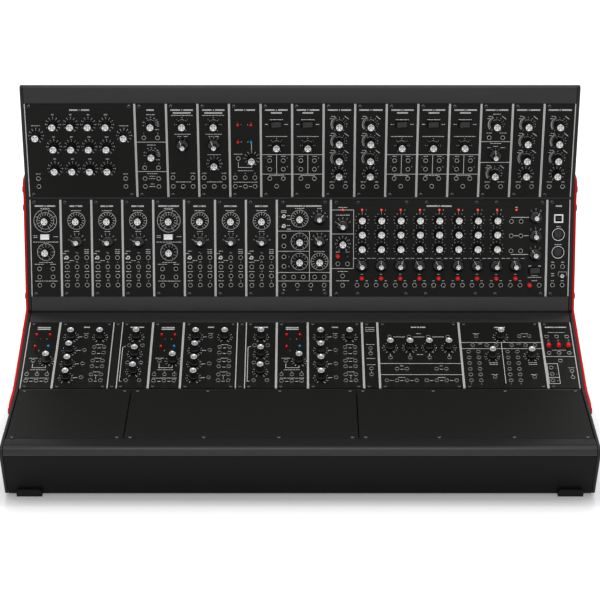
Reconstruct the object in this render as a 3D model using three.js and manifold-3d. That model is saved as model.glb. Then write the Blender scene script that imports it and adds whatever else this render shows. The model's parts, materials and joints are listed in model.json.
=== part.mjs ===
import * as THREE from 'three';
import { mergeVertices } from 'three/addons/utils/BufferGeometryUtils.js';
import Module from 'manifold-3d';

const wasm = await Module();
wasm.setup();

const { degToRad } = THREE.MathUtils;

// Driving sizes of the rack: millimetres, and radians for angles
const fieldWidth = 711.2;
const panelHeight = 128.5;
const panelThickness = 2;
const panelSlit = 0.3;

// Side profile of one case
const frontCornerHeight = 71.4;
const frontLean = degToRad(24.4);
const frontSlope = degToRad(5);
const rearSlope = degToRad(20);
const frontBand = 29.5;
const rearBand = 26;
const frontNoseRadius = 7;
const rearNoseRadius = 5;
const kinkGap = 4;
const trimDrop = 10.5;

// Sheet, rails and side cheeks
const sheetThickness = 1.5;
const sheetSeam = 0.8;
const seatClearance = 0.3;
const edgeGap = 0.5;
const railLip = 8;
const railDepth = 12;
const railWall = 2.5;
const ridgeDepth = 0.6;
const cheekThickness = 4.2;
const cheekGap = 0.3;

// How the second case stands on the first
const caseTilt = degToRad(75);
const noseGap = 0.7;

// Red side brackets and their screws
const bracketThickness = 3;
const bracketWidth = 38;
const bracketLowerReach = 46.6;
const bracketUpperReach = 25;
const bracketRound = 12;
const bracketHeelRound = 24;
const bracketScrewRadius = 4.4;
const bracketScrewHeight = 2.4;
const bracketScrewInset = 14;

// Rubber feet
const footWidth = 31;
const footHeight = 3.5;
const footRun = 22;
const footRise = 8.6;
const footLip = 3.4;
const footGap = 0.3;
const footSideInset = 25.6;

// Circuit boards behind the panels
const boardDepth = 12;
const boardThickness = 1.6;
const boardInset = 13;
const boardMargin = 3;
const spineWidth = 3;
const spineShares = [0.18, 0.82];

// Turning, tilting and pushing controls, measured from the panel's face
const knobRadius = 6.6;
const knobTopRadius = 4.8;
const knobShoulder = 8.5;
const knobHeight = 13.5;
const selectorRadius = 7.8;
const selectorDiscHeight = 6;
const selectorTopRadius = 3.7;
const selectorHeight = 14.5;
const controlLift = 0.5;
const shaftRadius = 3;
const shaftDepth = 8;
const shaftGap = 0.35;
const potWidth = 11;
const smallPotWidth = 8;
const rockerLength = 13;
const rockerWidth = 7;
const rockerProud = 3;
const rockerRoot = 2.6;
const rockerGap = 0.75;
const rockerTilt = degToRad(8);
const rockerPivotDepth = 1;
const bezelLength = 16;
const bezelWidth = 9.6;
const bezelHeight = 0.8;
const leverRadius = 1.55;
const leverHeight = 7.8;
const leverRoot = 3;
const leverBoreRadius = 2.5;
const toggleNutRadius = 2.9;
const toggleNutHeight = 2;
const toggleBatRadius = 0.9;
const toggleTipRadius = 1.4;
const toggleHeight = 9;
const toggleTilt = degToRad(12);
const toggleBoreRadius = 2;
const buttonRadius = 3.2;
const buttonProud = 4.5;
const buttonRoot = 4;
const buttonGap = 0.35;
const boreDepth = 9.5;

// Sockets of the computer interface unit
const usbWidth = 12;
const usbHeight = 11.2;
const usbMouthWidth = 8.4;
const usbMouthHeight = 7.8;
const usbTongueWidth = 5.6;
const usbTongueHeight = 3.2;
const socketProud = 1;
const socketDepth = 7;
const dinRadius = 8.8;
const dinGrooveRadius = 7.3;
const dinCoreRadius = 5.8;

// Power entry at the back and the supply board on the floor of each case
const inletWidth = 32;
const inletHeight = 25;
const inletDepth = 19;
const inletWall = 3;
const inletPinRecess = 5;
const inletPinWidth = 4;
const inletPinThickness = 2;
const inletPinPitch = 7;
const inletCentreHeight = 30;
const inletSideInset = 45.6;
const inletGap = 0.4;
const switchBlockWidth = 24;
const switchRecess = 2.6;
const supplySideInset = 75.6;
const supplyRun = 70;
const supplyFront = 40;
const supplyStandoff = 8;
const supplyLegRadius = 4;
const supplyLegInset = 12;
const headerCount = 10;
const headerLength = 24;
const headerWidth = 9;
const headerHeight = 9;

// One overlap serves every join and one overrun every cut
const fuse = 0.4;
const overrun = 5;

// Smoothness of round shapes
const noseSteps = 6;
const cornerSteps = 5;
const fixedSides = 8;
const movingSides = 16;
const smallSides = 10;

// Finishes
const finishes = {
  caseMetal: { color: 0x2d2d2d, roughness: 0.45, metalness: 0.6 },
  trim: { color: 0x353535, roughness: 0.35, metalness: 0.7 },
  panel: { color: 0x1f1f1f, roughness: 0.6, metalness: 0.2 },
  bracket: { color: 0xa5231e, roughness: 0.4, metalness: 0.2 },
  rubber: { color: 0x161616, roughness: 0.9, metalness: 0 },
  knob: { color: 0xc9c9c9, roughness: 0.3, metalness: 0.8 },
  selector: { color: 0x111111, roughness: 0.2, metalness: 0 },
  redPlastic: { color: 0xd0261f, roughness: 0.35, metalness: 0 },
  whitePlastic: { color: 0xebebeb, roughness: 0.4, metalness: 0 },
  blackPlastic: { color: 0x181818, roughness: 0.45, metalness: 0 },
  steel: { color: 0xb8b8b8, roughness: 0.25, metalness: 0.9 },
  board: { color: 0x1c4a2c, roughness: 0.6, metalness: 0 },
};

// Solids: a closed geometry becomes a solid for joining and cutting, and back

function solidOf(geometry) {
  const bare = geometry.clone();
  bare.deleteAttribute('normal');
  bare.deleteAttribute('uv');
  const merged = mergeVertices(bare);
  const corners = merged.index.array;
  const kept = [];
  for (let i = 0; i < corners.length; i += 3) {
    const [a, b, c] = [corners[i], corners[i + 1], corners[i + 2]];
    if (a !== b && b !== c && c !== a) {
      kept.push(a, b, c);
    }
  }
  return new wasm.Manifold(new wasm.Mesh({
    numProp: 3,
    vertProperties: Float32Array.from(merged.attributes.position.array),
    triVerts: Uint32Array.from(kept),
  }));
}

function joined(solids) {
  return solids.reduce((whole, next) => whole.add(next));
}

function cut(body, tools) {
  return tools.reduce((rest, tool) => rest.subtract(tool), body);
}

function meshOf(name, solid, finish) {
  const shape = solid.getMesh();
  const geometry = new THREE.BufferGeometry();
  geometry.setAttribute('position', new THREE.BufferAttribute(shape.vertProperties, shape.numProp));
  geometry.setIndex(new THREE.BufferAttribute(shape.triVerts, 1));
  geometry.computeVertexNormals();
  const mesh = new THREE.Mesh(geometry, new THREE.MeshStandardMaterial(finishes[finish]));
  mesh.name = name;
  return mesh;
}

// A box from its lowest and highest corner
function block(low, high) {
  const size = high.map((value, axis) => value - low[axis]);
  const middle = high.map((value, axis) => (value + low[axis]) / 2);
  return solidOf(new THREE.BoxGeometry(...size).translate(...middle));
}

// A round post or cone that stands on the panel's face
function post(x, y, from, to, lowRadius, highRadius, sides) {
  const height = to - from;
  const geometry = new THREE.CylinderGeometry(highRadius, lowRadius, height, sides);
  geometry.rotateX(Math.PI / 2);
  geometry.translate(x, y, (from + to) / 2);
  return solidOf(geometry);
}

// An outline in the side view, drawn as [back, up], pulled out from left to right
function extrudeAcross(outline, left, right) {
  const shape = new THREE.Shape(outline.map(([back, up]) => new THREE.Vector2(back, up)));
  const geometry = new THREE.ExtrudeGeometry(shape, { depth: right - left, bevelEnabled: false });
  const turn = new THREE.Matrix4().makeBasis(
    new THREE.Vector3(0, 1, 0),
    new THREE.Vector3(0, 0, 1),
    new THREE.Vector3(1, 0, 0),
  );
  geometry.applyMatrix4(turn);
  geometry.translate(left, 0, 0);
  return solidOf(geometry);
}

// Straight edges of the side view. Depth is measured into the case

function edgeFrom(origin, angle) {
  return { origin, angle };
}

function pointOn(edge, along, depth) {
  const [back, up] = edge.origin;
  const c = Math.cos(edge.angle);
  const s = Math.sin(edge.angle);
  return [back + along * c + depth * s, up + along * s - depth * c];
}

// Where two edges meet, each taken at its own depth
function meet(first, firstDepth, second, secondDepth) {
  const [ay, az] = pointOn(first, 0, firstDepth);
  const [by, bz] = pointOn(second, 0, secondDepth);
  const turn = Math.sin(second.angle - first.angle);
  const along = ((by - ay) * Math.sin(second.angle) - (bz - az) * Math.cos(second.angle)) / turn;
  return [ay + along * Math.cos(first.angle), az + along * Math.sin(first.angle)];
}

// The rounded nose between two edges, at a depth below its outer skin
function nose(first, second, radius, depth) {
  const [back, up] = meet(first, radius, second, radius);
  const points = [];
  for (let step = 0; step <= noseSteps; step += 1) {
    const blend = step / noseSteps;
    const angle = first.angle + (second.angle - first.angle) * blend + Math.PI / 2;
    points.push([back + (radius - depth) * Math.cos(angle), up + (radius - depth) * Math.sin(angle)]);
  }
  return points;
}

const frontFace = edgeFrom([0, 0], Math.PI / 2 + frontLean);
const frontCorner = [-frontCornerHeight * Math.tan(frontLean), frontCornerHeight];
const frontFaceRun = frontCornerHeight / Math.cos(frontLean);
const frontRow = edgeFrom(frontCorner, frontSlope);
const frontRun = frontBand + panelHeight + kinkGap / 2;
const kink = pointOn(frontRow, frontRun, 0);
const rearRow = edgeFrom(kink, rearSlope);
const rearRun = kinkGap / 2 + panelHeight + rearBand;
const rearCorner = pointOn(rearRow, rearRun, 0);
const rearFace = edgeFrom(rearCorner, -Math.PI / 2);
const underside = edgeFrom([rearCorner[0], 0], Math.PI);

// One case: folded sheet, three rails, two cheeks, supply board and power entry

function casePan() {
  const outline = [
    pointOn(frontFace, frontFaceRun - trimDrop - sheetSeam, 0),
    [0, 0],
    [rearCorner[0], 0],
    pointOn(rearFace, trimDrop + sheetSeam, 0),
    pointOn(rearFace, trimDrop + sheetSeam, sheetThickness),
    meet(rearFace, sheetThickness, underside, sheetThickness),
    meet(underside, sheetThickness, frontFace, sheetThickness),
    pointOn(frontFace, frontFaceRun - trimDrop - sheetSeam, sheetThickness),
  ];
  const sheet = extrudeAcross(outline, -fieldWidth / 2, fieldWidth / 2);
  const halfHeight = inletHeight / 2 + inletGap;
  const window = block(
    [inletLeft() - inletGap, rearCorner[0] - overrun, inletCentreHeight - halfHeight],
    [inletRight() + inletGap, rearCorner[0] + overrun, inletCentreHeight + halfHeight],
  );
  return cut(sheet, [window]);
}

// The power entry keeps its distance from the right end of the case
function inletRight() {
  return fieldWidth / 2 - inletSideInset;
}

function inletLeft() {
  return inletRight() - switchBlockWidth - inletWidth;
}

const seatDepth = panelThickness + seatClearance;

function frontRail() {
  const bandEnd = frontBand - edgeGap;
  return extrudeAcross([
    pointOn(frontFace, frontFaceRun - trimDrop, 0),
    ...nose(frontFace, frontRow, frontNoseRadius, 0),
    pointOn(frontRow, bandEnd, 0),
    pointOn(frontRow, bandEnd, seatDepth),
    pointOn(frontRow, frontBand + railLip, seatDepth),
    pointOn(frontRow, frontBand + railLip, railDepth),
    pointOn(frontRow, bandEnd - railWall, railDepth),
    pointOn(frontRow, bandEnd - railWall, railWall),
    ...nose(frontFace, frontRow, frontNoseRadius, railWall).reverse(),
    pointOn(frontFace, frontFaceRun - trimDrop, railWall),
  ], -fieldWidth / 2, fieldWidth / 2);
}

function centreRail() {
  const frontEdge = frontRun - kinkGap / 2;
  const rearEdge = kinkGap / 2;
  return extrudeAcross([
    pointOn(frontRow, frontEdge - railLip, seatDepth),
    pointOn(frontRow, frontEdge + edgeGap, seatDepth),
    pointOn(frontRow, frontEdge + edgeGap, ridgeDepth),
    pointOn(rearRow, rearEdge - edgeGap, ridgeDepth),
    pointOn(rearRow, rearEdge - edgeGap, seatDepth),
    pointOn(rearRow, rearEdge + railLip, seatDepth),
    pointOn(rearRow, rearEdge + railLip, railDepth),
    pointOn(frontRow, frontEdge - railLip, railDepth),
  ], -fieldWidth / 2, fieldWidth / 2);
}

function rearRail() {
  const panelEdge = kinkGap / 2 + panelHeight;
  const bandStart = panelEdge + edgeGap;
  return extrudeAcross([
    pointOn(rearRow, bandStart, 0),
    ...nose(rearRow, rearFace, rearNoseRadius, 0),
    pointOn(rearFace, trimDrop, 0),
    pointOn(rearFace, trimDrop, railWall),
    ...nose(rearRow, rearFace, rearNoseRadius, railWall).reverse(),
    pointOn(rearRow, bandStart + railWall, railWall),
    pointOn(rearRow, bandStart + railWall, railDepth),
    pointOn(rearRow, panelEdge - railLip, railDepth),
    pointOn(rearRow, panelEdge - railLip, seatDepth),
    pointOn(rearRow, bandStart, seatDepth),
  ], -fieldWidth / 2, fieldWidth / 2);
}

function cheek() {
  return extrudeAcross([
    [0, 0],
    ...nose(frontFace, frontRow, frontNoseRadius, 0),
    kink,
    ...nose(rearRow, rearFace, rearNoseRadius, 0),
    [rearCorner[0], 0],
  ], 0, cheekThickness);
}

function supplyBoard() {
  const low = sheetThickness + supplyStandoff;
  const half = fieldWidth / 2 - supplySideInset;
  const board = block(
    [-half, supplyFront, low],
    [half, supplyFront + supplyRun, low + boardThickness],
  );
  const legs = [];
  for (const side of [-1, 1]) {
    for (const back of [supplyFront + supplyLegInset, supplyFront + supplyRun - supplyLegInset]) {
      const x = side * (half - supplyLegInset);
      const foot = sheetThickness + seatClearance;
      legs.push(post(x, back, foot, low + fuse, supplyLegRadius, supplyLegRadius, fixedSides));
    }
  }
  const headers = [];
  const pitch = (half - supplyLegInset) * 2 / headerCount;
  const middle = supplyFront + supplyRun / 2;
  for (let index = 0; index < headerCount; index += 1) {
    const x = (index + 0.5) * pitch - half + supplyLegInset;
    headers.push(block(
      [x - headerLength / 2, middle - headerWidth / 2, low + boardThickness - fuse],
      [x + headerLength / 2, middle + headerWidth / 2, low + boardThickness + headerHeight],
    ));
  }
  return joined([board, ...legs, ...headers]);
}

// The power entry lies inside the sheet, its rim flush with the rear face
function powerInlet() {
  const rim = rearCorner[0];
  const low = inletCentreHeight - inletHeight / 2;
  const high = inletCentreHeight + inletHeight / 2;
  const shell = block([inletLeft(), rim - inletDepth, low], [inletRight(), rim, high]);
  const cavity = block(
    [inletLeft() + inletWall, rim - inletDepth + inletWall, low + inletWall],
    [inletLeft() + inletWidth - inletWall, rim + overrun, high - inletWall],
  );
  const pocket = block(
    [switchCentreX() - switchHalf(), rim - boreDepth, inletCentreHeight - switchRise()],
    [switchCentreX() + switchHalf(), rim + overrun, inletCentreHeight + switchRise()],
  );
  const pins = [-1, 0, 1].map((place) => {
    const x = inletLeft() + inletWidth / 2 + place * inletPinPitch;
    const lift = place === 0 ? inletPinWidth / 2 : -inletPinWidth / 2;
    const z = inletCentreHeight + lift;
    return block(
      [x - inletPinThickness / 2, rim - inletDepth + inletWall - fuse, z - inletPinWidth / 2],
      [x + inletPinThickness / 2, rim - inletPinRecess, z + inletPinWidth / 2],
    );
  });
  return joined([cut(shell, [cavity, pocket]), ...pins]);
}

function switchCentreX() {
  return inletRight() - switchBlockWidth / 2;
}

function switchHalf() {
  return rockerWidth / 2 + rockerGap;
}

function switchRise() {
  return rockerLength / 2 + rockerGap;
}

// The rocker in its own frame: length along x, face up, pivot at the origin
function rockerBody() {
  const half = rockerLength / 2;
  const low = -rockerRoot + rockerPivotDepth;
  const high = rockerProud + rockerPivotDepth;
  const dip = Math.tan(rockerTilt) * half;
  const outline = [[-half, high], [0, high - dip], [half, high], [half, low], [-half, low]];
  const shape = new THREE.Shape(outline.map(([x, z]) => new THREE.Vector2(x, z)));
  const geometry = new THREE.ExtrudeGeometry(shape, { depth: rockerWidth, bevelEnabled: false });
  geometry.rotateX(Math.PI / 2);
  geometry.translate(0, rockerWidth / 2, 0);
  return geometry;
}

function buildCase(prefix) {
  const group = new THREE.Group();
  const side = fieldWidth / 2 + cheekGap;
  const left = meshOf(`${prefix}_cheek_left`, cheek(), 'trim');
  left.position.x = -side - cheekThickness;
  const right = meshOf(`${prefix}_cheek_right`, cheek(), 'trim');
  right.position.x = side;
  const tilted = solidOf(rockerBody().rotateY(rockerTilt));
  const rocker = meshOf(`${prefix}_power_rocker`, tilted, 'blackPlastic');
  const standing = new THREE.Group();
  const pivot = rearCorner[0] - rockerPivotDepth - switchRecess;
  standing.position.set(switchCentreX(), pivot, inletCentreHeight);
  standing.rotation.set(-Math.PI / 2, 0, Math.PI / 2, 'YXZ');
  standing.add(rocker);
  group.add(
    meshOf(`${prefix}_case_pan`, casePan(), 'caseMetal'),
    meshOf(`${prefix}_front_rail`, frontRail(), 'trim'),
    meshOf(`${prefix}_centre_rail`, centreRail(), 'trim'),
    meshOf(`${prefix}_rear_rail`, rearRail(), 'trim'),
    left,
    right,
    meshOf(`${prefix}_supply_board`, supplyBoard(), 'board'),
    meshOf(`${prefix}_power_inlet`, powerInlet(), 'blackPlastic'),
    standing,
  );
  return group;
}

// Controls in the panel's frame: face at zero, outward up

function fixedPost(height, lowRadius, highRadius) {
  return post(0, 0, -fuse, height, lowRadius, highRadius, fixedSides);
}

function knobBody(sides) {
  return joined([
    post(0, 0, controlLift, knobShoulder, knobRadius, knobRadius, sides),
    post(0, 0, knobShoulder - fuse, knobHeight, knobTopRadius, knobTopRadius, sides),
    post(0, 0, -shaftDepth, knobShoulder, shaftRadius, shaftRadius, smallSides),
  ]);
}

function selectorBody(sides) {
  return joined([
    post(0, 0, controlLift, selectorDiscHeight, selectorRadius, selectorRadius, sides),
    post(0, 0, selectorDiscHeight - fuse, selectorHeight, selectorTopRadius, selectorTopRadius, sides),
    post(0, 0, -shaftDepth, selectorDiscHeight, shaftRadius, shaftRadius, smallSides),
  ]);
}

function leverBody() {
  return post(0, 0, -leverRoot, leverHeight, leverRadius, leverRadius, smallSides);
}

function toggleBody() {
  const bat = new THREE.CylinderGeometry(
    toggleTipRadius,
    toggleBatRadius,
    toggleHeight + leverRoot,
    smallSides,
  );
  bat.rotateX(Math.PI / 2);
  bat.translate(0, 0, (toggleHeight - leverRoot) / 2);
  bat.rotateY(-toggleTilt);
  return solidOf(bat);
}

function buttonBody() {
  return post(0, 0, -buttonRoot, buttonProud, buttonRadius, buttonRadius, movingSides);
}

function panelRocker() {
  const geometry = rockerBody().rotateY(rockerTilt);
  return solidOf(geometry.translate(0, 0, -rockerPivotDepth));
}

function carrier(width, length) {
  return block(
    [-length / 2, -width / 2, -boardDepth - fuse],
    [length / 2, width / 2, -panelThickness + fuse],
  );
}

function bore(radius) {
  return post(0, 0, -boreDepth, overrun, radius, radius, smallSides);
}

function rockerBezel() {
  return block(
    [-bezelLength / 2, -bezelWidth / 2, -fuse],
    [bezelLength / 2, bezelWidth / 2, bezelHeight],
  );
}

function rockerPocket() {
  const halfLength = rockerLength / 2 + rockerGap;
  const halfWidth = rockerWidth / 2 + rockerGap;
  return block([-halfLength, -halfWidth, -boreDepth], [halfLength, halfWidth, overrun]);
}

function toggleNut(sides) {
  return post(0, 0, -fuse, toggleNutHeight, toggleNutRadius, toggleNutRadius, sides);
}

// Each kind has a fixed form, and a free form that turns, tilts or travels, with what
// carries it behind the panel and what is cut out for it
const controls = {
  knob: {
    fixed: () => [fixedPost(knobHeight, knobRadius, knobTopRadius)],
    moving: () => knobBody(movingSides),
    mount: () => [carrier(potWidth, potWidth)],
    cuts: () => [bore(shaftRadius + shaftGap)],
  },
  selector: {
    fixed: () => [
      fixedPost(selectorDiscHeight, selectorRadius, selectorRadius),
      fixedPost(selectorHeight, selectorTopRadius, selectorTopRadius),
    ],
    moving: () => selectorBody(movingSides),
    mount: () => [carrier(potWidth, potWidth)],
    cuts: () => [bore(shaftRadius + shaftGap)],
  },
  rocker: {
    fixed: () => [rockerBezel(), panelRocker()],
    moving: () => panelRocker(),
    mount: () => [rockerBezel(), carrier(bezelWidth, bezelLength)],
    cuts: () => [rockerPocket()],
  },
  lever: {
    fixed: () => [fixedPost(leverHeight, leverRadius, leverRadius)],
    moving: () => leverBody(),
    mount: () => [carrier(smallPotWidth, smallPotWidth)],
    cuts: () => [bore(leverBoreRadius)],
  },
  toggle: {
    fixed: () => [toggleNut(fixedSides), fixedPost(toggleHeight, toggleBatRadius, toggleTipRadius)],
    moving: () => toggleBody(),
    mount: () => [toggleNut(smallSides), carrier(smallPotWidth, smallPotWidth)],
    cuts: () => [bore(toggleBoreRadius)],
  },
  button: {
    fixed: () => [fixedPost(buttonProud, buttonRadius, buttonRadius)],
    moving: () => buttonBody(),
    mount: () => [carrier(potWidth, potWidth)],
    cuts: () => [bore(buttonRadius + buttonGap)],
  },
  usb: { fixed: () => [usbSocket()] },
  din: { fixed: () => [dinSocket()] },
};

// A square data socket: a frame round a groove, with the tongue left standing
function usbSocket() {
  const low = -socketDepth;
  const frame = block([-usbWidth / 2, -usbHeight / 2, low], [usbWidth / 2, usbHeight / 2, socketProud]);
  const mouth = block(
    [-usbMouthWidth / 2, -usbMouthHeight / 2, fuse],
    [usbMouthWidth / 2, usbMouthHeight / 2, overrun],
  );
  const tongue = block(
    [-usbTongueWidth / 2, -usbTongueHeight / 2, 0],
    [usbTongueWidth / 2, usbTongueHeight / 2, socketProud],
  );
  return joined([cut(frame, [mouth]), tongue]);
}

// A round socket: a ring and a core with a shallow groove between them
function dinSocket() {
  const ring = post(0, 0, -socketDepth, socketProud, dinRadius, dinRadius, movingSides);
  const groove = post(0, 0, fuse, overrun, dinGrooveRadius, dinGrooveRadius, smallSides);
  const core = post(0, 0, 0, socketProud, dinCoreRadius, dinCoreRadius, smallSides);
  return joined([cut(ring, [groove]), core]);
}

// Units of the four rows, their widths in grid steps of the row.
// A place is [share of the unit's width, share of the panel's height]
const units = {
  filterBank: {
    steps: 28,
    knobShares: [0.255, 0.416, 0.577, 0.737].flatMap((across) => (
      [0.783, 0.546, 0.309].map((up) => [across, up])
    )).concat([[0.096, 0.665], [0.898, 0.665]]),
  },
  filterPair: { steps: 8, knobShares: [[0.5, 0.783], [0.5, 0.46]] },
  highPass: { steps: 8, knobShares: [[0.5, 0.783]], selectorShares: [[0.5, 0.565]] },
  lowPass: { steps: 8, knobShares: [[0.5, 0.783], [0.5, 0.364]], selectorShares: [[0.5, 0.565]] },
  voltages: {
    steps: 8,
    leverShares: [[0.271, 0.794], [0.691, 0.794], [0.271, 0.61], [0.691, 0.61]],
    knobShares: [[0.701, 0.42]],
  },
  amplifier: { steps: 8, rockerShares: [[0.485, 0.784]], knobShares: [[0.5, 0.559]] },
  envelope: { steps: 8, knobShares: [0.783, 0.602, 0.42, 0.255].map((up) => [0.5, up]) },
  triggerDelay: {
    steps: 8,
    knobShares: [[0.5, 0.783], [0.5, 0.255]],
    selectorShares: [[0.5, 0.456]],
  },
  driver: { steps: 8, knobShares: [[0.5, 0.784], [0.5, 0.461]], rockerShares: [[0.485, 0.618]] },
  oscillator: {
    steps: 8,
    knobShares: [[0.508, 0.784]],
    selectorShares: [[0.51, 0.567]],
    toggleShares: [[0.178, 0.405]],
  },
  bigOscillator: {
    steps: 14,
    knobShares: [[0.42, 0.808], [0.42, 0.573], [0.42, 0.364], [0.791, 0.364]],
    selectorShares: [[0.789, 0.804], [0.789, 0.569]],
    toggleShares: [[0.13, 0.833], [0.13, 0.732]],
  },
  sequencer: sequencerUnit(),
  computerLink: {
    steps: 6,
    usbShares: [[0.5, 0.807]],
    dinShares: [[0.5, 0.643], [0.5, 0.459]],
    toggleShares: [[0.7, 0.212]],
  },
  controlVoltages: {
    steps: 8,
    leverShares: [[0.322, 0.754], [0.742, 0.754], [0.322, 0.573], [0.742, 0.573]],
    knobShares: [[0.72, 0.399]],
  },
  mixer: {
    steps: 14,
    knobShares: [0.767, 0.56, 0.354, 0.148].map((up) => [0.234, up]).concat([[0.764, 0.767]]),
  },
  narrowBlank: { steps: 2 },
  attenuators: { steps: 8, knobShares: [0.769, 0.504, 0.241].map((up) => [0.5, up]) },
  noise: { steps: 4 },
  attenuatorRow: {
    steps: 21,
    knobShares: [0.141, 0.379, 0.615, 0.853].map((across) => [across, 0.603]),
  },
  interfaceUnit: { steps: 21, knobShares: [[0.497, 0.767], [0.373, 0.472], [0.846, 0.472]] },
  sequentialSwitch: { steps: 8, buttonShares: [0.192, 0.51, 0.815].map((across) => [across, 0.627]) },
  sideBlank: { steps: 28 },
  wideBlank: { steps: 56 },
};

// Eleven columns: the clock, eight stages, the track switches and the outputs
function sequencerUnit() {
  const firstShare = 0.0552;
  const pitchShare = 0.08916;
  const buttonOffsetShare = 0.0227;
  const stageCount = 8;
  const shareOf = (column) => firstShare + column * pitchShare;
  const outputs = shareOf(stageCount + 2);
  const unit = {
    steps: 56,
    knobShares: [[firstShare, 0.547]],
    selectorShares: [[firstShare, 0.73]],
    buttonShares: [[firstShare - buttonOffsetShare, 0.418], [firstShare + buttonOffsetShare, 0.418]],
    rockerShares: [[outputs, 0.269]],
  };
  for (let column = 1; column <= stageCount + 1; column += 1) {
    if (column <= stageCount) {
      unit.knobShares.push(...[0.794, 0.649, 0.5].map((up) => [shareOf(column), up]));
    }
    unit.selectorShares.push([shareOf(column), 0.316]);
    unit.buttonShares.push([shareOf(column), 0.187]);
  }
  unit.selectorShares.push(...[0.82, 0.627, 0.434].map((up) => [outputs, up]));
  unit.buttonShares.push([outputs - buttonOffsetShare, 0.115]);
  return unit;
}

function plate(start, width) {
  return block(
    [start + panelSlit / 2, 0, -panelThickness],
    [start + width - panelSlit / 2, panelHeight, 0],
  );
}

// The face of one unit, the block that ties it to its board, its fixed controls and the
// mounts of its free ones
function unitParts(unit, start, width, freeControls) {
  const [low, high] = spineShares.map((share) => share * panelHeight);
  const spine = carrier(high - low, spineWidth);
  const bodies = [
    plate(start, width),
    spine.translate([start + width / 2, (low + high) / 2, 0]),
  ];
  const cuts = [];
  const moving = [];
  for (const [type, control] of Object.entries(controls)) {
    const places = unit[`${type}Shares`] ?? [];
    places.forEach(([across, up], index) => {
      const place = [start + across * width, up * panelHeight, 0];
      const free = freeControls.find((entry) => entry.type === type && entry.index === index);
      const pieces = free ? control.mount() : control.fixed();
      bodies.push(...pieces.map((piece) => piece.translate(place)));
      if (free) {
        cuts.push(...control.cuts().map((tool) => tool.translate(place)));
        moving.push({ ...free, place, solid: control.moving() });
      }
    });
  }
  return { bodies, cuts, moving };
}

// Neighbouring units on one circuit board behind their panels
function addModules(row, { name, kinds, freeControls }, left, step) {
  const bodies = [];
  const cuts = [];
  const moving = [];
  let start = 0;
  kinds.forEach((kind, place) => {
    const width = units[kind].steps * step;
    const own = freeControls.filter((entry) => entry.unit === place);
    const parts = unitParts(units[kind], start, width, own);
    bodies.push(...parts.bodies);
    cuts.push(...parts.cuts);
    moving.push(...parts.moving);
    start += width;
  });
  bodies.push(block(
    [boardMargin, boardInset, -boardDepth - boardThickness],
    [start - boardMargin, panelHeight - boardInset, -boardDepth],
  ));
  const mesh = meshOf(name, cut(joined(bodies), cuts), 'panel');
  mesh.position.x = left;
  row.add(mesh);
  for (const entry of moving) {
    const control = meshOf(entry.name, entry.solid, entry.finish);
    control.position.set(left + entry.place[0], entry.place[1], 0);
    row.add(control);
  }
}

function addBlank(row, { name, kinds }, left, step) {
  const mesh = meshOf(name, plate(0, stepsOf(kinds) * step), 'panel');
  mesh.position.x = left;
  row.add(mesh);
}

function stepsOf(kinds) {
  return kinds.reduce((sum, kind) => sum + units[kind].steps, 0);
}

function modules(name, kinds, freeControls = []) {
  return { name, kinds, freeControls, add: addModules };
}

function blank(name, kind) {
  return { name, kinds: [kind], add: addBlank };
}

// A control that has a node of its own: its unit's place in the group, its type, and
// its place among the unit's controls of that type
function free(name, unit, type, index, finish) {
  return { name, unit, type, index, finish };
}

// A row's frame starts at the lower left corner of its panels, and its entries fill it
// from left to right
function filledRow(edge, along, entries) {
  const row = new THREE.Group();
  const [back, up] = pointOn(edge, along, 0);
  row.position.set(-fieldWidth / 2, back, up);
  row.rotation.x = edge.angle;
  const step = fieldWidth / stepsOf(entries.flatMap((entry) => entry.kinds));
  let left = 0;
  for (const entry of entries) {
    entry.add(row, entry, left, step);
    left += stepsOf(entry.kinds) * step;
  }
  return row;
}

function topRow() {
  return filledRow(rearRow, kinkGap / 2, [
    modules('filter_bank_module', ['filterBank'], [
      free('filter_bank_knob', 0, 'knob', 0, 'knob'),
    ]),
    modules('filter_modules', ['filterPair', 'highPass', 'lowPass', 'voltages'], [
      free('low_pass_selector', 2, 'selector', 0, 'selector'),
      free('voltage_lever', 3, 'lever', 0, 'redPlastic'),
    ]),
    modules('amplifier_modules', [
      'amplifier', 'amplifier', 'envelope', 'envelope',
      'amplifier', 'amplifier', 'amplifier', 'triggerDelay', 'envelope', 'envelope',
    ], [
      free('amplifier_rocker', 0, 'rocker', 0, 'blackPlastic'),
      free('envelope_knob', 2, 'knob', 0, 'knob'),
      free('delay_selector', 7, 'selector', 0, 'selector'),
    ]),
  ]);
}

function oscillatorRow() {
  const kinds = ['driver', 'oscillator', 'oscillator', 'oscillator'];
  return filledRow(frontRow, frontBand, [
    modules('oscillator_modules_left', kinds, [
      free('driver_knob', 0, 'knob', 0, 'knob'),
      free('driver_rocker', 0, 'rocker', 0, 'whitePlastic'),
      free('oscillator_knob', 1, 'knob', 0, 'knob'),
      free('oscillator_selector', 1, 'selector', 0, 'selector'),
      free('oscillator_toggle', 1, 'toggle', 0, 'steel'),
    ]),
    modules('oscillator_modules_right', kinds),
    modules('big_oscillator_module', ['bigOscillator'], [
      free('big_oscillator_knob', 0, 'knob', 0, 'knob'),
    ]),
    modules('sequencer_module', ['sequencer'], [
      free('stage_knob', 0, 'knob', 1, 'knob'),
      free('stage_selector', 0, 'selector', 1, 'selector'),
      free('stage_button', 0, 'button', 2, 'redPlastic'),
      free('sequencer_rocker', 0, 'rocker', 0, 'blackPlastic'),
    ]),
    modules('computer_link_module', ['computerLink'], [
      free('computer_link_toggle', 0, 'toggle', 0, 'steel'),
    ]),
  ]);
}

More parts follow.
